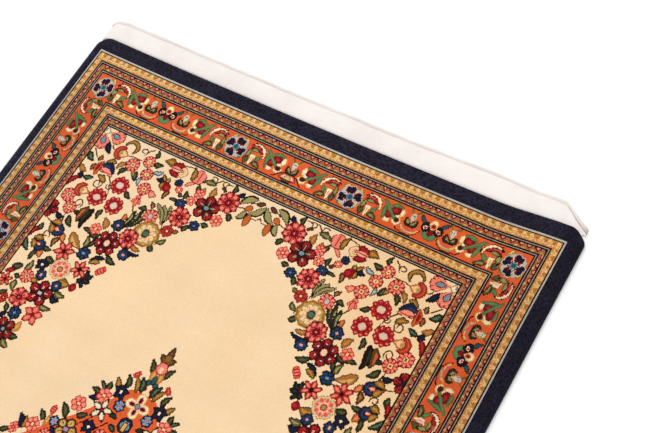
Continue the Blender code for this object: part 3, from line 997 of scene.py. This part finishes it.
# how unevenly the hem's painted shade lies
HEM_SHADE_SIZE = 0.11
CORNER_SHADED_COTTON = (206, 190, 176)  # painted shade of the folded corner, deepest at its tab that turns under
FOLD_SHADOW_COTTON = (178, 160, 146)  # painted shadow along the free edge of that corner's fold
CORNER_FOLD_EXTRA = 0.0025  # how much wider it is folded there
FOLDED_CORNER_START, FOLDED_CORNER_EASE = 0.475, 0.02  # where that corner begins, along the kilim, and how softly
FOLD_START, FOLD_EASE = 0.508, 0.01  # the same for the tab at the corner's end, where the painted shade is deepest
TAB_SHADE_SHARE = 0.75  # that tab's own share of the painted shade

FLOOR_REACH, FLOOR_DROP = 6, 0.0006

rng = np.random.default_rng(1604)


def smooth_noise(x, y, size, octaves=4):
    """A smooth uneven field from -1 to 1 over x and y, with its largest bumps about a size apart."""
    total = np.zeros(np.broadcast(x, y).shape)
    for octave in range(octaves):
        for _ in range(3):
            turn, phase = rng.uniform(0, 2 * math.pi, 2)
            wave = 2 * math.pi / (size / 1.6**octave * rng.uniform(0.8, 1.3))
            total += np.sin(wave * (x * math.cos(turn) + y * math.sin(turn)) + phase) / 1.5**octave
    return total / np.abs(total).max()


def eased(t):
    """0 to 1 with a soft start and stop."""
    t = np.clip(t, 0, 1)
    return t * t * (3 - 2 * t)


def drifted(x, y, start=DRIFT_START):
    """Where a point of the straight, ideal rug really lies. Both ends stray alike, half a turn apart."""
    turn = np.where(np.asarray(y) > 0, 1, -1)
    u, v = turn * x, turn * y
    near_end = eased((v - start) / (HALF_LENGTH - start))
    sag = END_SAG * (1 - (u / HALF_WIDTH) ** 2)
    creep = CORNER_CREEP * eased((u - CREEP_START) / CREEP_RUN)
    bow = SIDE_BOW * np.sin(2 * math.pi * SIDE_BOW_WAVES * np.asarray(y) / PILE_LENGTH)
    return x + bow, y + turn * near_end * (creep - sag)


def spaced(start, stop, step):
    """Evenly spaced numbers from start to stop, about a step apart."""
    return np.linspace(start, stop, max(1, math.ceil(abs(stop - start) / step - 0.01)) + 1)


def arc(middle_x, middle_y, radius, start, stop):
    """Points along an arc about the middle, angles from +X."""
    a = spaced(start, stop, ARC_STEP)
    return np.stack([middle_x + radius * np.cos(a), middle_y + radius * np.sin(a)], 1)


def resampled(line, count):
    """So many points, evenly spaced along a line of points."""
    steps = np.linalg.norm(np.diff(line, axis=0), axis=1)
    length = np.concatenate([[0], np.cumsum(steps)])
    at = np.linspace(0, length[-1], count)
    return np.stack([np.interp(at, length, line[:, i]) for i in range(line.shape[1])], 1)


def quads(rows, columns, closed=False):
    """The faces of a grid of points, whose columns may close on themselves."""
    index = np.arange(rows * columns).reshape(rows, columns)
    if closed:
        index = np.hstack([index, index[:, :1]])
    return np.stack([index[:-1, :-1], index[:-1, 1:], index[1:, 1:], index[1:, :-1]], -1).reshape(-1, 4)


def tube_faces(rows, count):
    """The faces of a tube of so many sections with so many points each, whose two ends are closed."""
    last = (rows - 1) * count
    ends = [list(range(count))[::-1], list(range(last, last + count))]
    return quads(rows, count, closed=True).tolist() + ends


def headings(line):
    """Which way a line of points runs at each of them."""
    heading = np.gradient(line, axis=0)
    return heading / np.linalg.norm(heading, axis=1)[:, None]


def add_object(name, data):
    """An object of the scene with this mesh, camera or light."""
    new = bpy.data.objects.new(name, data)
    bpy.context.scene.collection.objects.link(new)
    return new


def add_mesh(name, points, faces, material, colours, uv, knots=None):
    """A piece with a mesh of its own, an sRGB colour for each face and a pair of uv for each point."""
    mesh = bpy.data.meshes.new(name)
    mesh.from_pydata(np.asarray(points).tolist(), [], [list(face) for face in faces])
    corners = np.empty(len(mesh.loops), np.int32)
    mesh.loops.foreach_get("vertex_index", corners)
    for label, pairs in (("OFBake", uv), ("knots", knots)):
        if pairs is not None:
            layer = mesh.uv_layers.new(name=label)
            layer.data.foreach_set("uv", np.asarray(pairs, np.float32)[corners].ravel())
    sizes = np.empty(len(mesh.polygons), np.int32)
    mesh.polygons.foreach_get("loop_total", sizes)
    paint = np.repeat(np.hstack([colours, np.ones((len(colours), 1))]), sizes, axis=0)
    layer = mesh.color_attributes.new("yarn", "BYTE_COLOR", "CORNER")
    layer.data.foreach_set("color_srgb", paint.astype(np.float32).ravel())
    mesh.materials.append(material)
    mesh.shade_smooth()
    mesh.update()
    piece = add_object(name, mesh)
    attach(piece, "root")
    return piece


def flat_map(points):
    """Seen from above, the points' places in their own box, from just over 0 to just under 1."""
    flat = np.asarray(points)[:, :2]
    low, high = flat.min(0), flat.max(0)
    return MAP_MARGIN + (1 - 2 * MAP_MARGIN) * (flat - low) / (high - low)


# ---- Materials ----


class Shading:
    """A material's nodes, added one after another."""

    def __init__(self, name):
        self.material = bpy.data.materials.new(name)
        self.material.use_nodes = True
        self.tree = self.material.node_tree
        self.shader = self.tree.nodes["Principled BSDF"]

    def node(self, kind, settings=(), **inputs):
        new = self.tree.nodes.new("ShaderNode" + kind)
        for key, value in settings:
            setattr(new, key, value)
        for key, value in inputs.items():
            self.set(new.inputs[key.replace("_", " ")], value)
        return new

    def set(self, socket, value):
        if isinstance(value, bpy.types.NodeSocket):
            self.tree.links.new(value, socket)
        else:
            socket.default_value = value

    def place(self):
        """Where the surface is, in metres."""
        return self.node("TexCoord").outputs["Object"]

    def yarn(self):
        """The colour painted on the mesh there: the yarn or cloth, with painted shade on some pieces."""
        return self.node("Attribute", [("attribute_name", "yarn")]).outputs["Color"]

    def math(self, operation, *values, clamp=False):
        new = self.node("Math", [("operation", operation), ("use_clamp", clamp)])
        for socket, value in zip(new.inputs, values):
            self.set(socket, value)
        return new.outputs[0]

    def wave(self, along, length):
        """A sine wave along a coordinate, with this length from crest to crest."""
        return self.math("SINE", self.math("MULTIPLY", along, 2 * math.pi / length))

    def mix(self, share, a, b, blend="MIX"):
        new = self.node("Mix", [("data_type", "RGBA"), ("blend_type", blend)])
        for socket, value in zip((new.inputs[0], new.inputs[6], new.inputs[7]), (share, a, b)):
            self.set(socket, value)
        return new.outputs[2]

    def noise(self, place, scale, detail, roughness):
        new = self.node("TexNoise", Vector=place, Scale=scale, Detail=detail, Roughness=roughness)
        return new.outputs["Fac"]

    def bump(self, height, distance, strength):
        new = self.node("Bump", Height=height, Distance=distance, Strength=strength)
        self.set(self.shader.inputs["Normal"], new.outputs[0])

    def finish(self, colour, roughness, sheen=0.0, sheen_roughness=0.5, specular=0.0):
        values = (colour, roughness, sheen, sheen_roughness, specular)
        sockets = ("Base Color", "Roughness", "Sheen Weight", "Sheen Roughness", "Specular IOR Level")
        for socket, value in zip(sockets, values):
            self.set(self.shader.inputs[socket], value)
        return self.material


def linear(colour):
    """An sRGB colour, 0 to 255, as Blender's linear one."""
    c = np.array(colour) / 255
    return (*np.where(c <= 0.04045, c / 12.92, ((c + 0.055) / 1.055) ** 2.4), 1.0)


def pile_material():
    """Short cut wool pile: every knot a little mound, with fibres in it."""
    look = Shading("wool_pile")
    place = look.place()
    yarn = look.yarn()
    fibre = look.noise(place, 1400, 3, 0.6)
    tuft = look.noise(place, 330, 2, 0.5)
    shade = look.math("MULTIPLY_ADD", fibre, 0.12, 0.94)
    wear_and_shade = look.math("MULTIPLY_ADD", tuft, 0.07, 0.965)
    colour = look.mix(1.0, yarn, look.math("MULTIPLY", shade, wear_and_shade), "MULTIPLY")
    knots = look.node("UVMap", [("uv_map", "knots")]).outputs[0]
    parts = look.node("SeparateXYZ", Vector=knots)
    across, along = (look.wave(look.math("FRACT", parts.outputs[i]), 2) for i in (0, 1))
    mound = look.math("POWER", look.math("MULTIPLY", across, along), 0.5)
    look.bump(look.math("MULTIPLY_ADD", fibre, 0.7, mound), 0.0004, 0.3)
    return look.finish(colour, 0.95, sheen=0.03, sheen_roughness=0.45, specular=0.08)


def navy_material(name, dark, light, scale):
    """Plain dark wool, uneven in patches, with lighter fibre tips."""
    look = Shading(name)
    place = look.place()
    fibre = look.noise(place, 900, 3, 0.65)
    tuft = look.noise(place, scale, 3, 0.6)
    cloud = look.noise(place, 40, 3, 0.6)
    share = look.math("MULTIPLY", look.math("SUBTRACT", tuft, 0.34, clamp=True), 3.0, clamp=True)
    base = look.mix(share, linear(dark), linear(light))
    shade = look.math("MULTIPLY_ADD", cloud, 1.2, 0.4)
    yarn = look.yarn()
    look.bump(look.math("ADD", fibre, tuft), 0.0008, 0.7)
    colour = look.mix(1.0, look.mix(1.0, base, shade, "MULTIPLY"), yarn, "MULTIPLY")
    return look.finish(colour, 0.95, sheen=0.04, specular=0.08)


def cotton_material():
    """Off-white cotton in plain weave, with thicker and thinner wefts."""
    look = Shading("white_cotton")
    place = look.place()
    parts = look.node("SeparateXYZ", Vector=place)
    warp, weft = (look.wave(parts.outputs[i], length) for i, length in enumerate(COTTON_WEAVE))
    weave = look.math("MULTIPLY", warp, weft)
    scaled = look.node("VectorMath", [("operation", "MULTIPLY")], Vector=place)
    scaled.inputs[1].default_value = (0.06, 1.0, 0.2)
    slub = look.noise(scaled.outputs[0], 420, 3, 0.6)
    cloud = look.noise(place, 14, 3, 0.55)
    yarn = look.yarn()
    thread = look.mix(1.0, yarn, look.mix(slub, (0.94, 0.94, 0.94, 1), (1.04, 1.04, 1.04, 1)), "MULTIPLY")
    soil_and_shade = look.mix(look.math("SUBTRACT", cloud, 0.42, clamp=True), thread, linear((222, 208, 200)))
    height = look.math("ADD", look.math("MULTIPLY", weave, 0.5), look.math("MULTIPLY", slub, 1.2))
    look.bump(height, 0.0003, 0.5)
    return look.finish(soil_and_shade, 0.95, sheen=0.03, specular=0.1)


def back_material():
    """The knots' loops on the underside: the same yarns, drawn flat between the wefts."""
    look = Shading("rug_back")
    place = look.place()
    yarn = look.yarn()
    parts = look.node("SeparateXYZ", Vector=place)
    rows, columns = (look.wave(parts.outputs[i], KNOT_WIDTH) for i in (1, 0))
    fibre = look.noise(place, 900, 2, 0.5)
    grey = look.mix(look.math("MULTIPLY_ADD", rows, 0.12), yarn, linear((200, 190, 172)))
    loops = look.math("ADD", rows, look.math("MULTIPLY", columns, 0.5))
    look.bump(look.math("ADD", loops, fibre), 0.0003, 0.5)
    return look.finish(grey, 0.92, sheen=0.05, specular=0.15)


def floor_material():
    """A plain white studio floor."""
    look = Shading("studio_floor")
    look.set(look.shader.inputs["Emission Color"], (1, 1, 1, 1))
    look.set(look.shader.inputs["Emission Strength"], 0.1)
    return look.finish((0.97, 0.97, 0.97, 1), 0.9)


# ---- The knotted pile ----


def knot_edges(field, bands):
    """Where the knots' edges lie across the whole design, in metres. bands are (knots, size), outside in."""
    sizes = [KNOT_MM] * field
    for count, size in reversed(bands):
        sizes += [size] * count
    half = KNOT_MM / 2 + np.concatenate([[0], np.cumsum(sizes)])
    return np.concatenate([-half[::-1], half]) / 1000


COLUMN_EDGES = knot_edges(FIELD_COLUMNS, [(band[1], band[3]) for band in BANDS])
ROW_EDGES = knot_edges(FIELD_ROWS, [(band[2], band[4]) for band in BANDS]) * ROW_STRETCH


def design_points(across, along):
    """Where points of the straight design, in metres from its middle, lie on the floor plan."""
    u, v = np.meshgrid(across, along)
    return np.stack(drifted(DESIGN_MIDDLE_X + u, v, DESIGN_DRIFT_START), -1)


def whole_design():
    """All the rug's knots: the quarter, mirrored about both middle lines."""
    quarter = draw_quarter()
    half = np.concatenate([quarter[:0:-1], quarter])
    return np.concatenate([half[:, :0:-1], half], 1)


def dyed(knots):
    """Each knot's sRGB colour, 0 to 1, as uneven as hand-dyed wool, with painted shade along the sides and on
    the right.
    """
    rows, columns = knots.shape
    y, x = np.mgrid[0:rows, 0:columns]
    spread = np.where(knots == YARN_NUMBERS["ivory"], *YARN_SPREAD)
    yarn = 1 + spread * rng.standard_normal(knots.shape)
    batch = 1 + WEAR * smooth_noise(0 * x[:, :1], y[:, :1], BATCH_SIZE)
    wear_and_shade = 1 + WEAR * smooth_noise(x, y, WEAR_SIZE) + FINE_WEAR * smooth_noise(x, y, FINE_WEAR_SIZE, 2)
    past_side = abs(x - columns // 2) - FIELD_COLUMNS
    past_end = abs(y - rows // 2) - FIELD_ROWS
    border = eased(np.maximum(past_side, past_end) / BORDER_EASE)
    side_shaded = eased(past_side / SIDE_EASE) * (1 - eased(past_end / END_EASE))
    patchy = np.dstack([smooth_noise(x, y, PATCH_SIZE, 3) * border for _ in range(3)]) * DYE_PATCHES
    # painted shade: darker along both sides, most on the right one
    painted_shade = 1 - side_shaded[..., None] * (1 - np.array(SIDE_PAINTED_SHADES)[(x > columns // 2).astype(int)])
    from_middle = np.hypot((x - columns // 2) / OPEN_FIELD[0], (y - rows // 2) / OPEN_FIELD[1])
    outside = eased((from_middle - OPEN_START) / OPEN_EASE)
    # painted shade over the flowers and bands toward the right
    right_shaded = outside * eased((x - columns // 2) / RIGHT_EASE) * (1 - side_shaded)
    painted_shade = painted_shade * (1 - right_shaded[..., None] * (1 - np.array(RIGHT_PAINTED_SHADE)))
    faded = 1 + smooth_noise(x, y, FADE_SIZE, 3)[..., None] * FADING
    return np.clip(YARN_COLOURS[knots] * (yarn * batch * wear_and_shade)[..., None] * (1 + patchy) * painted_shade * faded, 0, 1)


def eased_corners(knots):
    """How far the knots' corners move, in knots, where tufts close up the steps of a slanting edge."""
    rows, columns = knots.shape
    up, right = np.zeros((2, rows + 1, columns + 1), int)
    up[:rows, 1:columns] = knots[:, 1:] != knots[:, :-1]
    right[1:rows, :columns] = knots[1:] != knots[:-1]
    down, left = np.roll(up, 1, 0), np.roll(right, 1, 1)
    bent = (up + down == 1) & (right + left == 1)
    lean = np.dstack([(right - left) * bent, (up - down) * bent])
    stepped = np.zeros(bent.shape, bool)
    for edge, way, axis in ((up, -1, 0), (down, 1, 0), (right, -1, 1), (left, 1, 1)):
        stepped |= (edge == 1) & ((lean * np.roll(lean, way, axis)).sum(-1) < 0)
    return STEP_EASE * lean * stepped[..., None]


def pile_outline(inset=0.0):
    """The straight outline of the pile, clockwise from the middle of its soft corner's arc, in four runs."""
    w, l = PILE_HALF_WIDTH - inset, HALF_LENGTH - inset
    soft, tight = SOFT_CORNER - inset, TIGHT_CORNER - inset
    half_turn = math.pi / 2
    corners = (  # x and y of the arc's middle, its radius, where it starts
        (w - soft, l - soft, soft, half_turn),
        (w - tight, -l + tight, tight, 0),
        (-w + soft, -l + soft, soft, -half_turn),
        (-w + tight, l - tight, tight, -2 * half_turn),
    )
    runs = []
    for here, after in zip(corners, corners[1:] + corners[:1]):
        first = arc(*here[:3], here[3] - half_turn / 2, here[3] - half_turn)
        second = arc(*after[:3], after[3], after[3] - half_turn / 2)
        runs.append(np.concatenate([first, second]))
    return runs


def outline_ring(counts, inset, height):
    """The outline as one ring, with so many steps along each of its four runs."""
    runs = [resampled(run, count + 1)[:-1] for run, count in zip(pile_outline(inset), counts)]
    line = np.concatenate(runs)
    x, y = drifted(line[:, 0], line[:, 1])
    return np.stack([x, y, np.full(len(x), height)], 1)


def rim_of(grid):
    """The edge points of a grid, clockwise from the corner at +X, +Y, and the steps along its four sides."""
    side, end = grid.shape[0] - 1, grid.shape[1] - 1
    right, near = grid[:0:-1, -1], grid[0, :0:-1]
    left, far = grid[:-1, 0], grid[-1, :-1]
    return np.concatenate([right, near, left, far]), (side, end, side, end)


def make_pile(wool, navy):
    """The patterned pile in tiles, and the plain navy band round it."""
    knots = whole_design()
    colours = dyed(knots)
    rows, columns = knots.shape
    plan = design_points(COLUMN_EDGES, ROW_EDGES)
    loose = rng.uniform(-PLY_JITTER, PLY_JITTER, plan.shape)
    loose[[0, -1]] = loose[:, [0, -1]] = 0
    loose += eased_corners(knots) * KNOT_WIDTH
    wander = [ROW_WANDER * smooth_noise(plan[..., 0], plan[..., 1], ROW_WANDER_SIZE, 2) for _ in range(2)]
    nap = rng.uniform(-NAP_JITTER, NAP_JITTER, plan.shape[:2])
    swell = SWELL * smooth_noise(plan[..., 0], plan[..., 1], SWELL_SIZE)
    points = np.dstack([plan + loose + np.dstack(wander), PILE_THICKNESS + nap + swell])
    marks = np.dstack(np.meshgrid(np.arange(columns + 1), np.arange(rows + 1)))
    tiles = []
    row_cuts = np.linspace(0, rows, TILE_ROWS + 1).astype(int)
    column_cuts = np.linspace(0, columns, TILE_COLUMNS + 1).astype(int)
    for i, (low, high) in enumerate(zip(row_cuts, row_cuts[1:])):
        for j, (left, right) in enumerate(zip(column_cuts, column_cuts[1:])):
            tile = points[low : high + 1, left : right + 1].reshape(-1, 3)
            faces = quads(high - low + 1, right - left + 1)
            paint = colours[low:high, left:right].reshape(-1, 3)
            mark = marks[low : high + 1, left : right + 1].reshape(-1, 2)
            name = f"pile_row{i + 1}_part{j + 1}"
            tiles.append(add_mesh(name, tile, faces, wool, paint, flat_map(tile), mark))
    return tiles + [make_navy_band(points, navy)], knots


def make_navy_band(points, navy):
    """The plain band from the edge of the design out to the rounded edge of the pile, and down it, with
    painted shade along its right side.
    """
    inner, counts = rim_of(points)
    r = PILE_RIM_ROUND
    outer = outline_ring(counts, r - PILE_FLARE, PILE_THICKNESS)
    shares = np.linspace(0, 1, BAND_RINGS)[:, None, None]
    rings = list(inner + (outer - inner) * shares)
    for turn in np.radians((45, 90)):
        inset = r - r * math.sin(turn) - PILE_FLARE
        rings.append(outline_ring(counts, inset, PILE_THICKNESS - r + r * math.cos(turn)))
    rings.append(outline_ring(counts, 0, BAND_FOOT))
    rings = np.array(rings)
    rings[1:, :, 2] += rng.uniform(-NAP_JITTER, NAP_JITTER, rings.shape[1:2]) * BAND_NAP
    rings[1:-1, :, :2] += rng.uniform(-PLY_JITTER, PLY_JITTER, (len(rings) - 2, rings.shape[1], 2))
    points = rings.reshape(-1, 3)
    faces = quads(len(rings), rings.shape[1], closed=True)[:, ::-1]
    # painted shade: the band is darker along the right side
    painted_side_shade = np.where(points[faces[:, 0], 0] > PILE_HALF_WIDTH - NAVY_SHADE_WIDTH, NAVY_PAINTED_SHADE, 1.0)
    grey = np.repeat(painted_side_shade[:, None], 3, 1)
    band = add_mesh("pile_navy_band", points, faces, navy, grey, flat_map(points))
    return band


def make_foundation(knots, material):
    """The cotton warps and wefts that the knots are tied on, whose underside shows the design again."""
    xs = spaced(COLUMN_EDGES[0], COLUMN_EDGES[-1], BACK_CELL)
    ys = spaced(ROW_EDGES[0], ROW_EDGES[-1], BACK_CELL)
    plan = design_points(xs, ys)
    bottom = np.dstack([plan, np.zeros(plan.shape[:2])])
    inner, counts = rim_of(bottom)
    count = len(inner)
    walls = [outline_ring(counts, FOUNDATION_INSET, height) for height in (0, FOUNDATION_TOP)]
    index = np.arange(len(xs) * len(ys)).reshape(len(ys), len(xs))
    rim, _ = rim_of(index[..., None])
    rings = np.concatenate([rim[:, 0], np.arange(2 * count) + index.size])
    faces = quads(len(ys), len(xs))[:, ::-1].tolist()
    faces += rings[quads(3, count, closed=True)].tolist()
    faces.append(rings[-count:][::-1].tolist())
    row = np.searchsorted(ROW_EDGES, (ys[1:] + ys[:-1]) / 2) - 1
    column = np.searchsorted(COLUMN_EDGES, (xs[1:] + xs[:-1]) / 2) - 1
    paint = YARN_COLOURS[knots[np.ix_(row, column)]].reshape(-1, 3)
    extra = np.tile(YARN_COLOURS[YARN_NUMBERS["navy"]], (len(faces) - len(paint), 1))
    points = np.concatenate([bottom.reshape(-1, 3), *walls])
    slab = add_mesh("foundation", points, faces, material, np.concatenate([paint, extra]), flat_map(points))
    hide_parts("knotted_pile")
    return slab


# ---- The selvedges ----


def make_selvedge(name, side, material):
    """Wool wound round the edge warps along one long side, +X or -X, each turn a slight ridge; the +X one is
    darkened with painted shade.
    """
    radius = SELVEDGE_DIAMETER / 2
    out = GAP + radius
    w, l = PILE_HALF_WIDTH, HALF_LENGTH
    soft = arc(w - SOFT_CORNER, l - SOFT_CORNER, SOFT_CORNER + out, SELVEDGE_TURN_IN, 0)
    tight = arc(w - TIGHT_CORNER, -l + TIGHT_CORNER, TIGHT_CORNER + out, 0, -SELVEDGE_TURN_IN)
    path = resampled(np.concatenate([soft, tight]), PATH_POINTS)
    path = np.stack(drifted(side * path[:, 0], side * path[:, 1]), 1)
    length = np.linalg.norm(np.diff(path, axis=0), axis=1).sum()
    steps = round(length / WRAP_PITCH) * WRAP_STEPS
    path = resampled(path, steps + 1)
    heading = headings(path)
    across = np.stack([heading[:, 1], -heading[:, 0]], 1)
    run = np.arange(steps + 1) * length / steps
    tucked = 1 - eased(np.minimum(run, length - run) / TUCK_LENGTH)[:, None]
    path += across * tucked * TUCK_DEPTH
    around_it = np.linspace(0, 2 * math.pi, CORD_SIDES, endpoint=False)
    turns = np.arange(steps + 1)[:, None] / WRAP_STEPS + around_it / (2 * math.pi)
    thin = rng.uniform(0.0, WRAP_UNEVEN, (steps + 1, 1))
    r = radius - thin - WRAP_DEPTH * (0.5 - 0.5 * np.cos(2 * math.pi * turns))
    r *= 1 - TUCK_TAPER * tucked
    plan = path[:, None] + (r * np.cos(around_it))[..., None] * across[:, None]
    height = radius * (1 - TUCK_TAPER * tucked) + r * np.sin(around_it)
    points = np.dstack([plan, np.clip(height, 0, None)]).reshape(-1, 3)
    faces = tube_faces(steps + 1, CORD_SIDES)
    round_it = np.arange(CORD_SIDES) / CORD_SIDES + 0.05
    uv = np.dstack(np.meshgrid(round_it, np.arange(steps + 1) / steps)).reshape(-1, 2)
    # painted shade: the right cord is darker than the left
    plain = np.full((len(faces), 3), CORD_PAINTED_SHADES[side])
    cord = add_mesh(f"wrapped_{name}", points, faces, material, plain, uv)
    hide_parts(name)
    return cord


# ---- The kilims ----


def kilim_corner(radius):
    """The kilim's inner edge round one corner of the pile, as (x past the corner's middle, depth)."""
    inner, outer = radius + 2 * GAP, radius + SELVEDGE_DIAMETER + 3 * GAP
    along_pile = arc(0, -radius, inner, math.pi / 2, SELVEDGE_TURN_IN + ARC_STEP / 4)
    along_selvedge = arc(0, -radius, outer, SELVEDGE_TURN_IN, math.radians(20))
    return np.concatenate([along_pile, along_selvedge])


def inner_edge():
    """The whole inner edge of the +Y kilim, from -X to +X, as (x, depth)."""
    left = kilim_corner(TIGHT_CORNER) * (-1, 1) - (PILE_HALF_WIDTH - TIGHT_CORNER, 0)
    right = kilim_corner(SOFT_CORNER) + (PILE_HALF_WIDTH - SOFT_CORNER, 0)
    return np.concatenate([left[::-1], right])


def hem_section(inner, outer, hem_width):
    """The middle line of the cloth across the strip, as (depth, height): flat, then folded back."""
    bend = (CLOTH_THICKNESS + FOLD_GAP) / 2
    low = CLOTH_THICKNESS / 2
    flat = [(inner + (outer - hem_width - inner) * t, low) for t in np.linspace(0, 1, 6)]
    turns = np.linspace(-math.pi / 2, math.pi / 2, 6)
    fold = [(outer - low - bend + bend * math.cos(a), low + bend + bend * math.sin(a)) for a in turns]
    back = []
    for t, drop in HEM_BACK:
        back.append((outer - low - bend - (hem_width - low - bend) * t, low + (2 - drop) * bend))
    return np.array(flat + fold + back)


def ripple(x):
    """How far the loose outer edge of a kilim stands off the floor at x."""
    waves = [np.sin(2 * math.pi * x / length) for length in RIPPLE_LENGTHS]
    return RIPPLE_HEIGHT * (1 + sum(waves) / len(waves)) / 2


def thickened(line, thickness):
    """The closed section of a cloth about its middle line, thinner toward the line's end."""
    heading = headings(line)
    thick = np.full(len(line), thickness)
    thick[-2:] *= HEM_TAPER
    up = np.stack([-heading[:, 1], heading[:, 0]], 1) * thick[:, None] / 2
    return np.concatenate([line - up, (line + up)[::-1]])


def kilim_colours(xs, count):
    """The cloth's sRGB colours, 0 to 1: painted shade, greyer on the hem and more so on the folded corner,
    and painted shadow darkest along that corner's crease.
    """
    section = np.arange(count)[:, None]
    folded = np.abs(section - (count - 1) / 2) < count / 2 - FLAT_FACES
    # painted shade on the hem faces, uneven along the kilim
    soil_and_shade = (0.55 + 0.45 * smooth_noise(xs, 0 * xs, HEM_SHADE_SIZE))[:, None, None] * folded
    strip = (COTTON + soil_and_shade * (np.array(HEM_SHADED_COTTON) - COTTON)) / 255
    along = xs[:, None, None]
    # painted shade of the folded corner, deepest at its tab
    wear_and_shade = (1 - TAB_SHADE_SHARE) * eased((along - FOLDED_CORNER_START) / FOLDED_CORNER_EASE)
    wear_and_shade = wear_and_shade + TAB_SHADE_SHARE * eased((along - FOLD_START) / FOLD_EASE)
    cloth = strip + (np.array(CORNER_SHADED_COTTON) / 255 - strip) * (wear_and_shade * folded)
    free_edge = np.isin(section, (count // 2 - 2, count // 2 - 1))
    # painted shadow along the free edge of the corner's fold
    fold_shadow = eased((along - FOLDED_CORNER_START + FOLD_EASE) / FOLD_EASE) * free_edge
    return cloth + (np.array(FOLD_SHADOW_COTTON) / 255 - cloth) * fold_shadow


def make_kilim(name, turn, material):
    """The woven strip beyond the pile at the +Y end (turn 1) or the -Y end (turn -1), with its hem on top."""
    edge, inner = np.array(KILIM_EDGE), inner_edge()
    xs = spaced(edge[0, 0], edge[-1, 0], KILIM_STEP)
    near = np.interp(xs, *inner.T)
    far = np.interp(xs, *edge.T) + EDGE_WANDER * smooth_noise(xs, 0 * xs, EDGE_WANDER_SIZE)
    hems = HEM_WIDTH + HEM_WANDER * smooth_noise(xs, 0 * xs, HEM_WANDER_SIZE)
    hems += CORNER_FOLD_EXTRA * eased((xs - FOLDED_CORNER_START) / FOLDED_CORNER_EASE)
    sections = np.array([thickened(hem_section(*edges), CLOTH_THICKNESS) for edges in zip(near, far, hems)])
    depth, height = sections[..., 0], sections[..., 1]
    x, y = drifted(xs, np.full(len(xs), HALF_LENGTH))
    reach = eased(depth / far[:, None])
    lift = ripple(x)[:, None] * reach
    cockle = COCKLE * (1 + smooth_noise(xs[:, None], depth, COCKLE_SIZE)) * reach
    height = height + (lift + cockle * (height > 0))
    points = np.dstack([turn * x[:, None] + 0 * depth, turn * (y[:, None] + depth), height]).reshape(-1, 3)
    count = sections.shape[1]
    faces = tube_faces(len(xs), count)
    flat = np.meshgrid(np.arange(count) / (count - 1) * 0.98 + 0.01, np.arange(len(xs)) / (len(xs) - 1))
    uv = np.dstack(flat[::-1]).reshape(-1, 2)
    cloth = kilim_colours(xs[:-1], count).reshape(-1, 3)
    colours = np.concatenate([cloth, np.full((2, 3), 0.95)])
    kilim = add_mesh(f"woven_{name}", points, faces, material, colours, uv)
    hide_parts(name)
    return kilim, np.median(far - near) + HEM_WIDTH, edge[-1, 0] - edge[0, 0]


# ---- The scene ----


def make_rug():
    wool = pile_material()
    navy = navy_material("navy_wool", (16, 14, 24), (46, 42, 59), 220)
    wrap = navy_material("navy_wrap", (26, 25, 36), (66, 66, 86), 420)
    cotton = cotton_material()
    pile, knots = make_pile(wool, navy)
    foundation = make_foundation(knots, back_material())
    cords = [make_selvedge(name, side, wrap) for name, side in (("selvedge_right", 1), ("selvedge_left", -1))]
    for name, turn in (("kilim_far_end", 1), ("kilim_near_end", -1)):
        kilim, cut_length, width = make_kilim(name, turn, cotton)


def make_camera():
    """The photograph's viewpoint, from above the rug's right side."""
    data = bpy.data.cameras.new("camera")
    data.lens = 65.60
    data.sensor_width = 36
    camera = add_object("camera", data)
    right, up = (0.84297837, 0.50804382, -0.17685856), (-0.38047529, 0.79549043, 0.47162859)
    back, place = (0.38029728, -0.33028239, 0.86387935), (0.895, -0.049, 1.818)
    camera.matrix_world = Matrix([(*row, 0) for row in (right, up, back)] + [(*place, 1)]).transposed()
    bpy.context.scene.camera = camera


def make_studio():
    """A white floor under soft even light."""
    floor_mesh = bpy.data.meshes.new("floor")
    ways = ((-1, -1), (1, -1), (1, 1), (-1, 1))
    corners = [(x * FLOOR_REACH, y * FLOOR_REACH, -FLOOR_DROP) for x, y in ways]
    floor_mesh.from_pydata(corners, [], [(0, 1, 2, 3)])
    floor_mesh.materials.append(floor_material())
    floor = add_object("floor", floor_mesh)
    world = bpy.data.worlds.new("studio")
    world.use_nodes = True
    sky = world.node_tree.nodes["Background"].inputs
    sky["Color"].default_value = (1, 1, 1, 1)
    sky["Strength"].default_value = 0.79
    bpy.context.scene.world = world
    light = bpy.data.lights.new("softbox", "SUN")
    light.angle = math.radians(45)
    light.energy = 0.98
    add_object("softbox", light).rotation_euler = (math.radians(-32), math.radians(-24), 0)
    bpy.context.scene.view_settings.view_transform = "Standard"


make_camera()
make_rug()
make_studio()
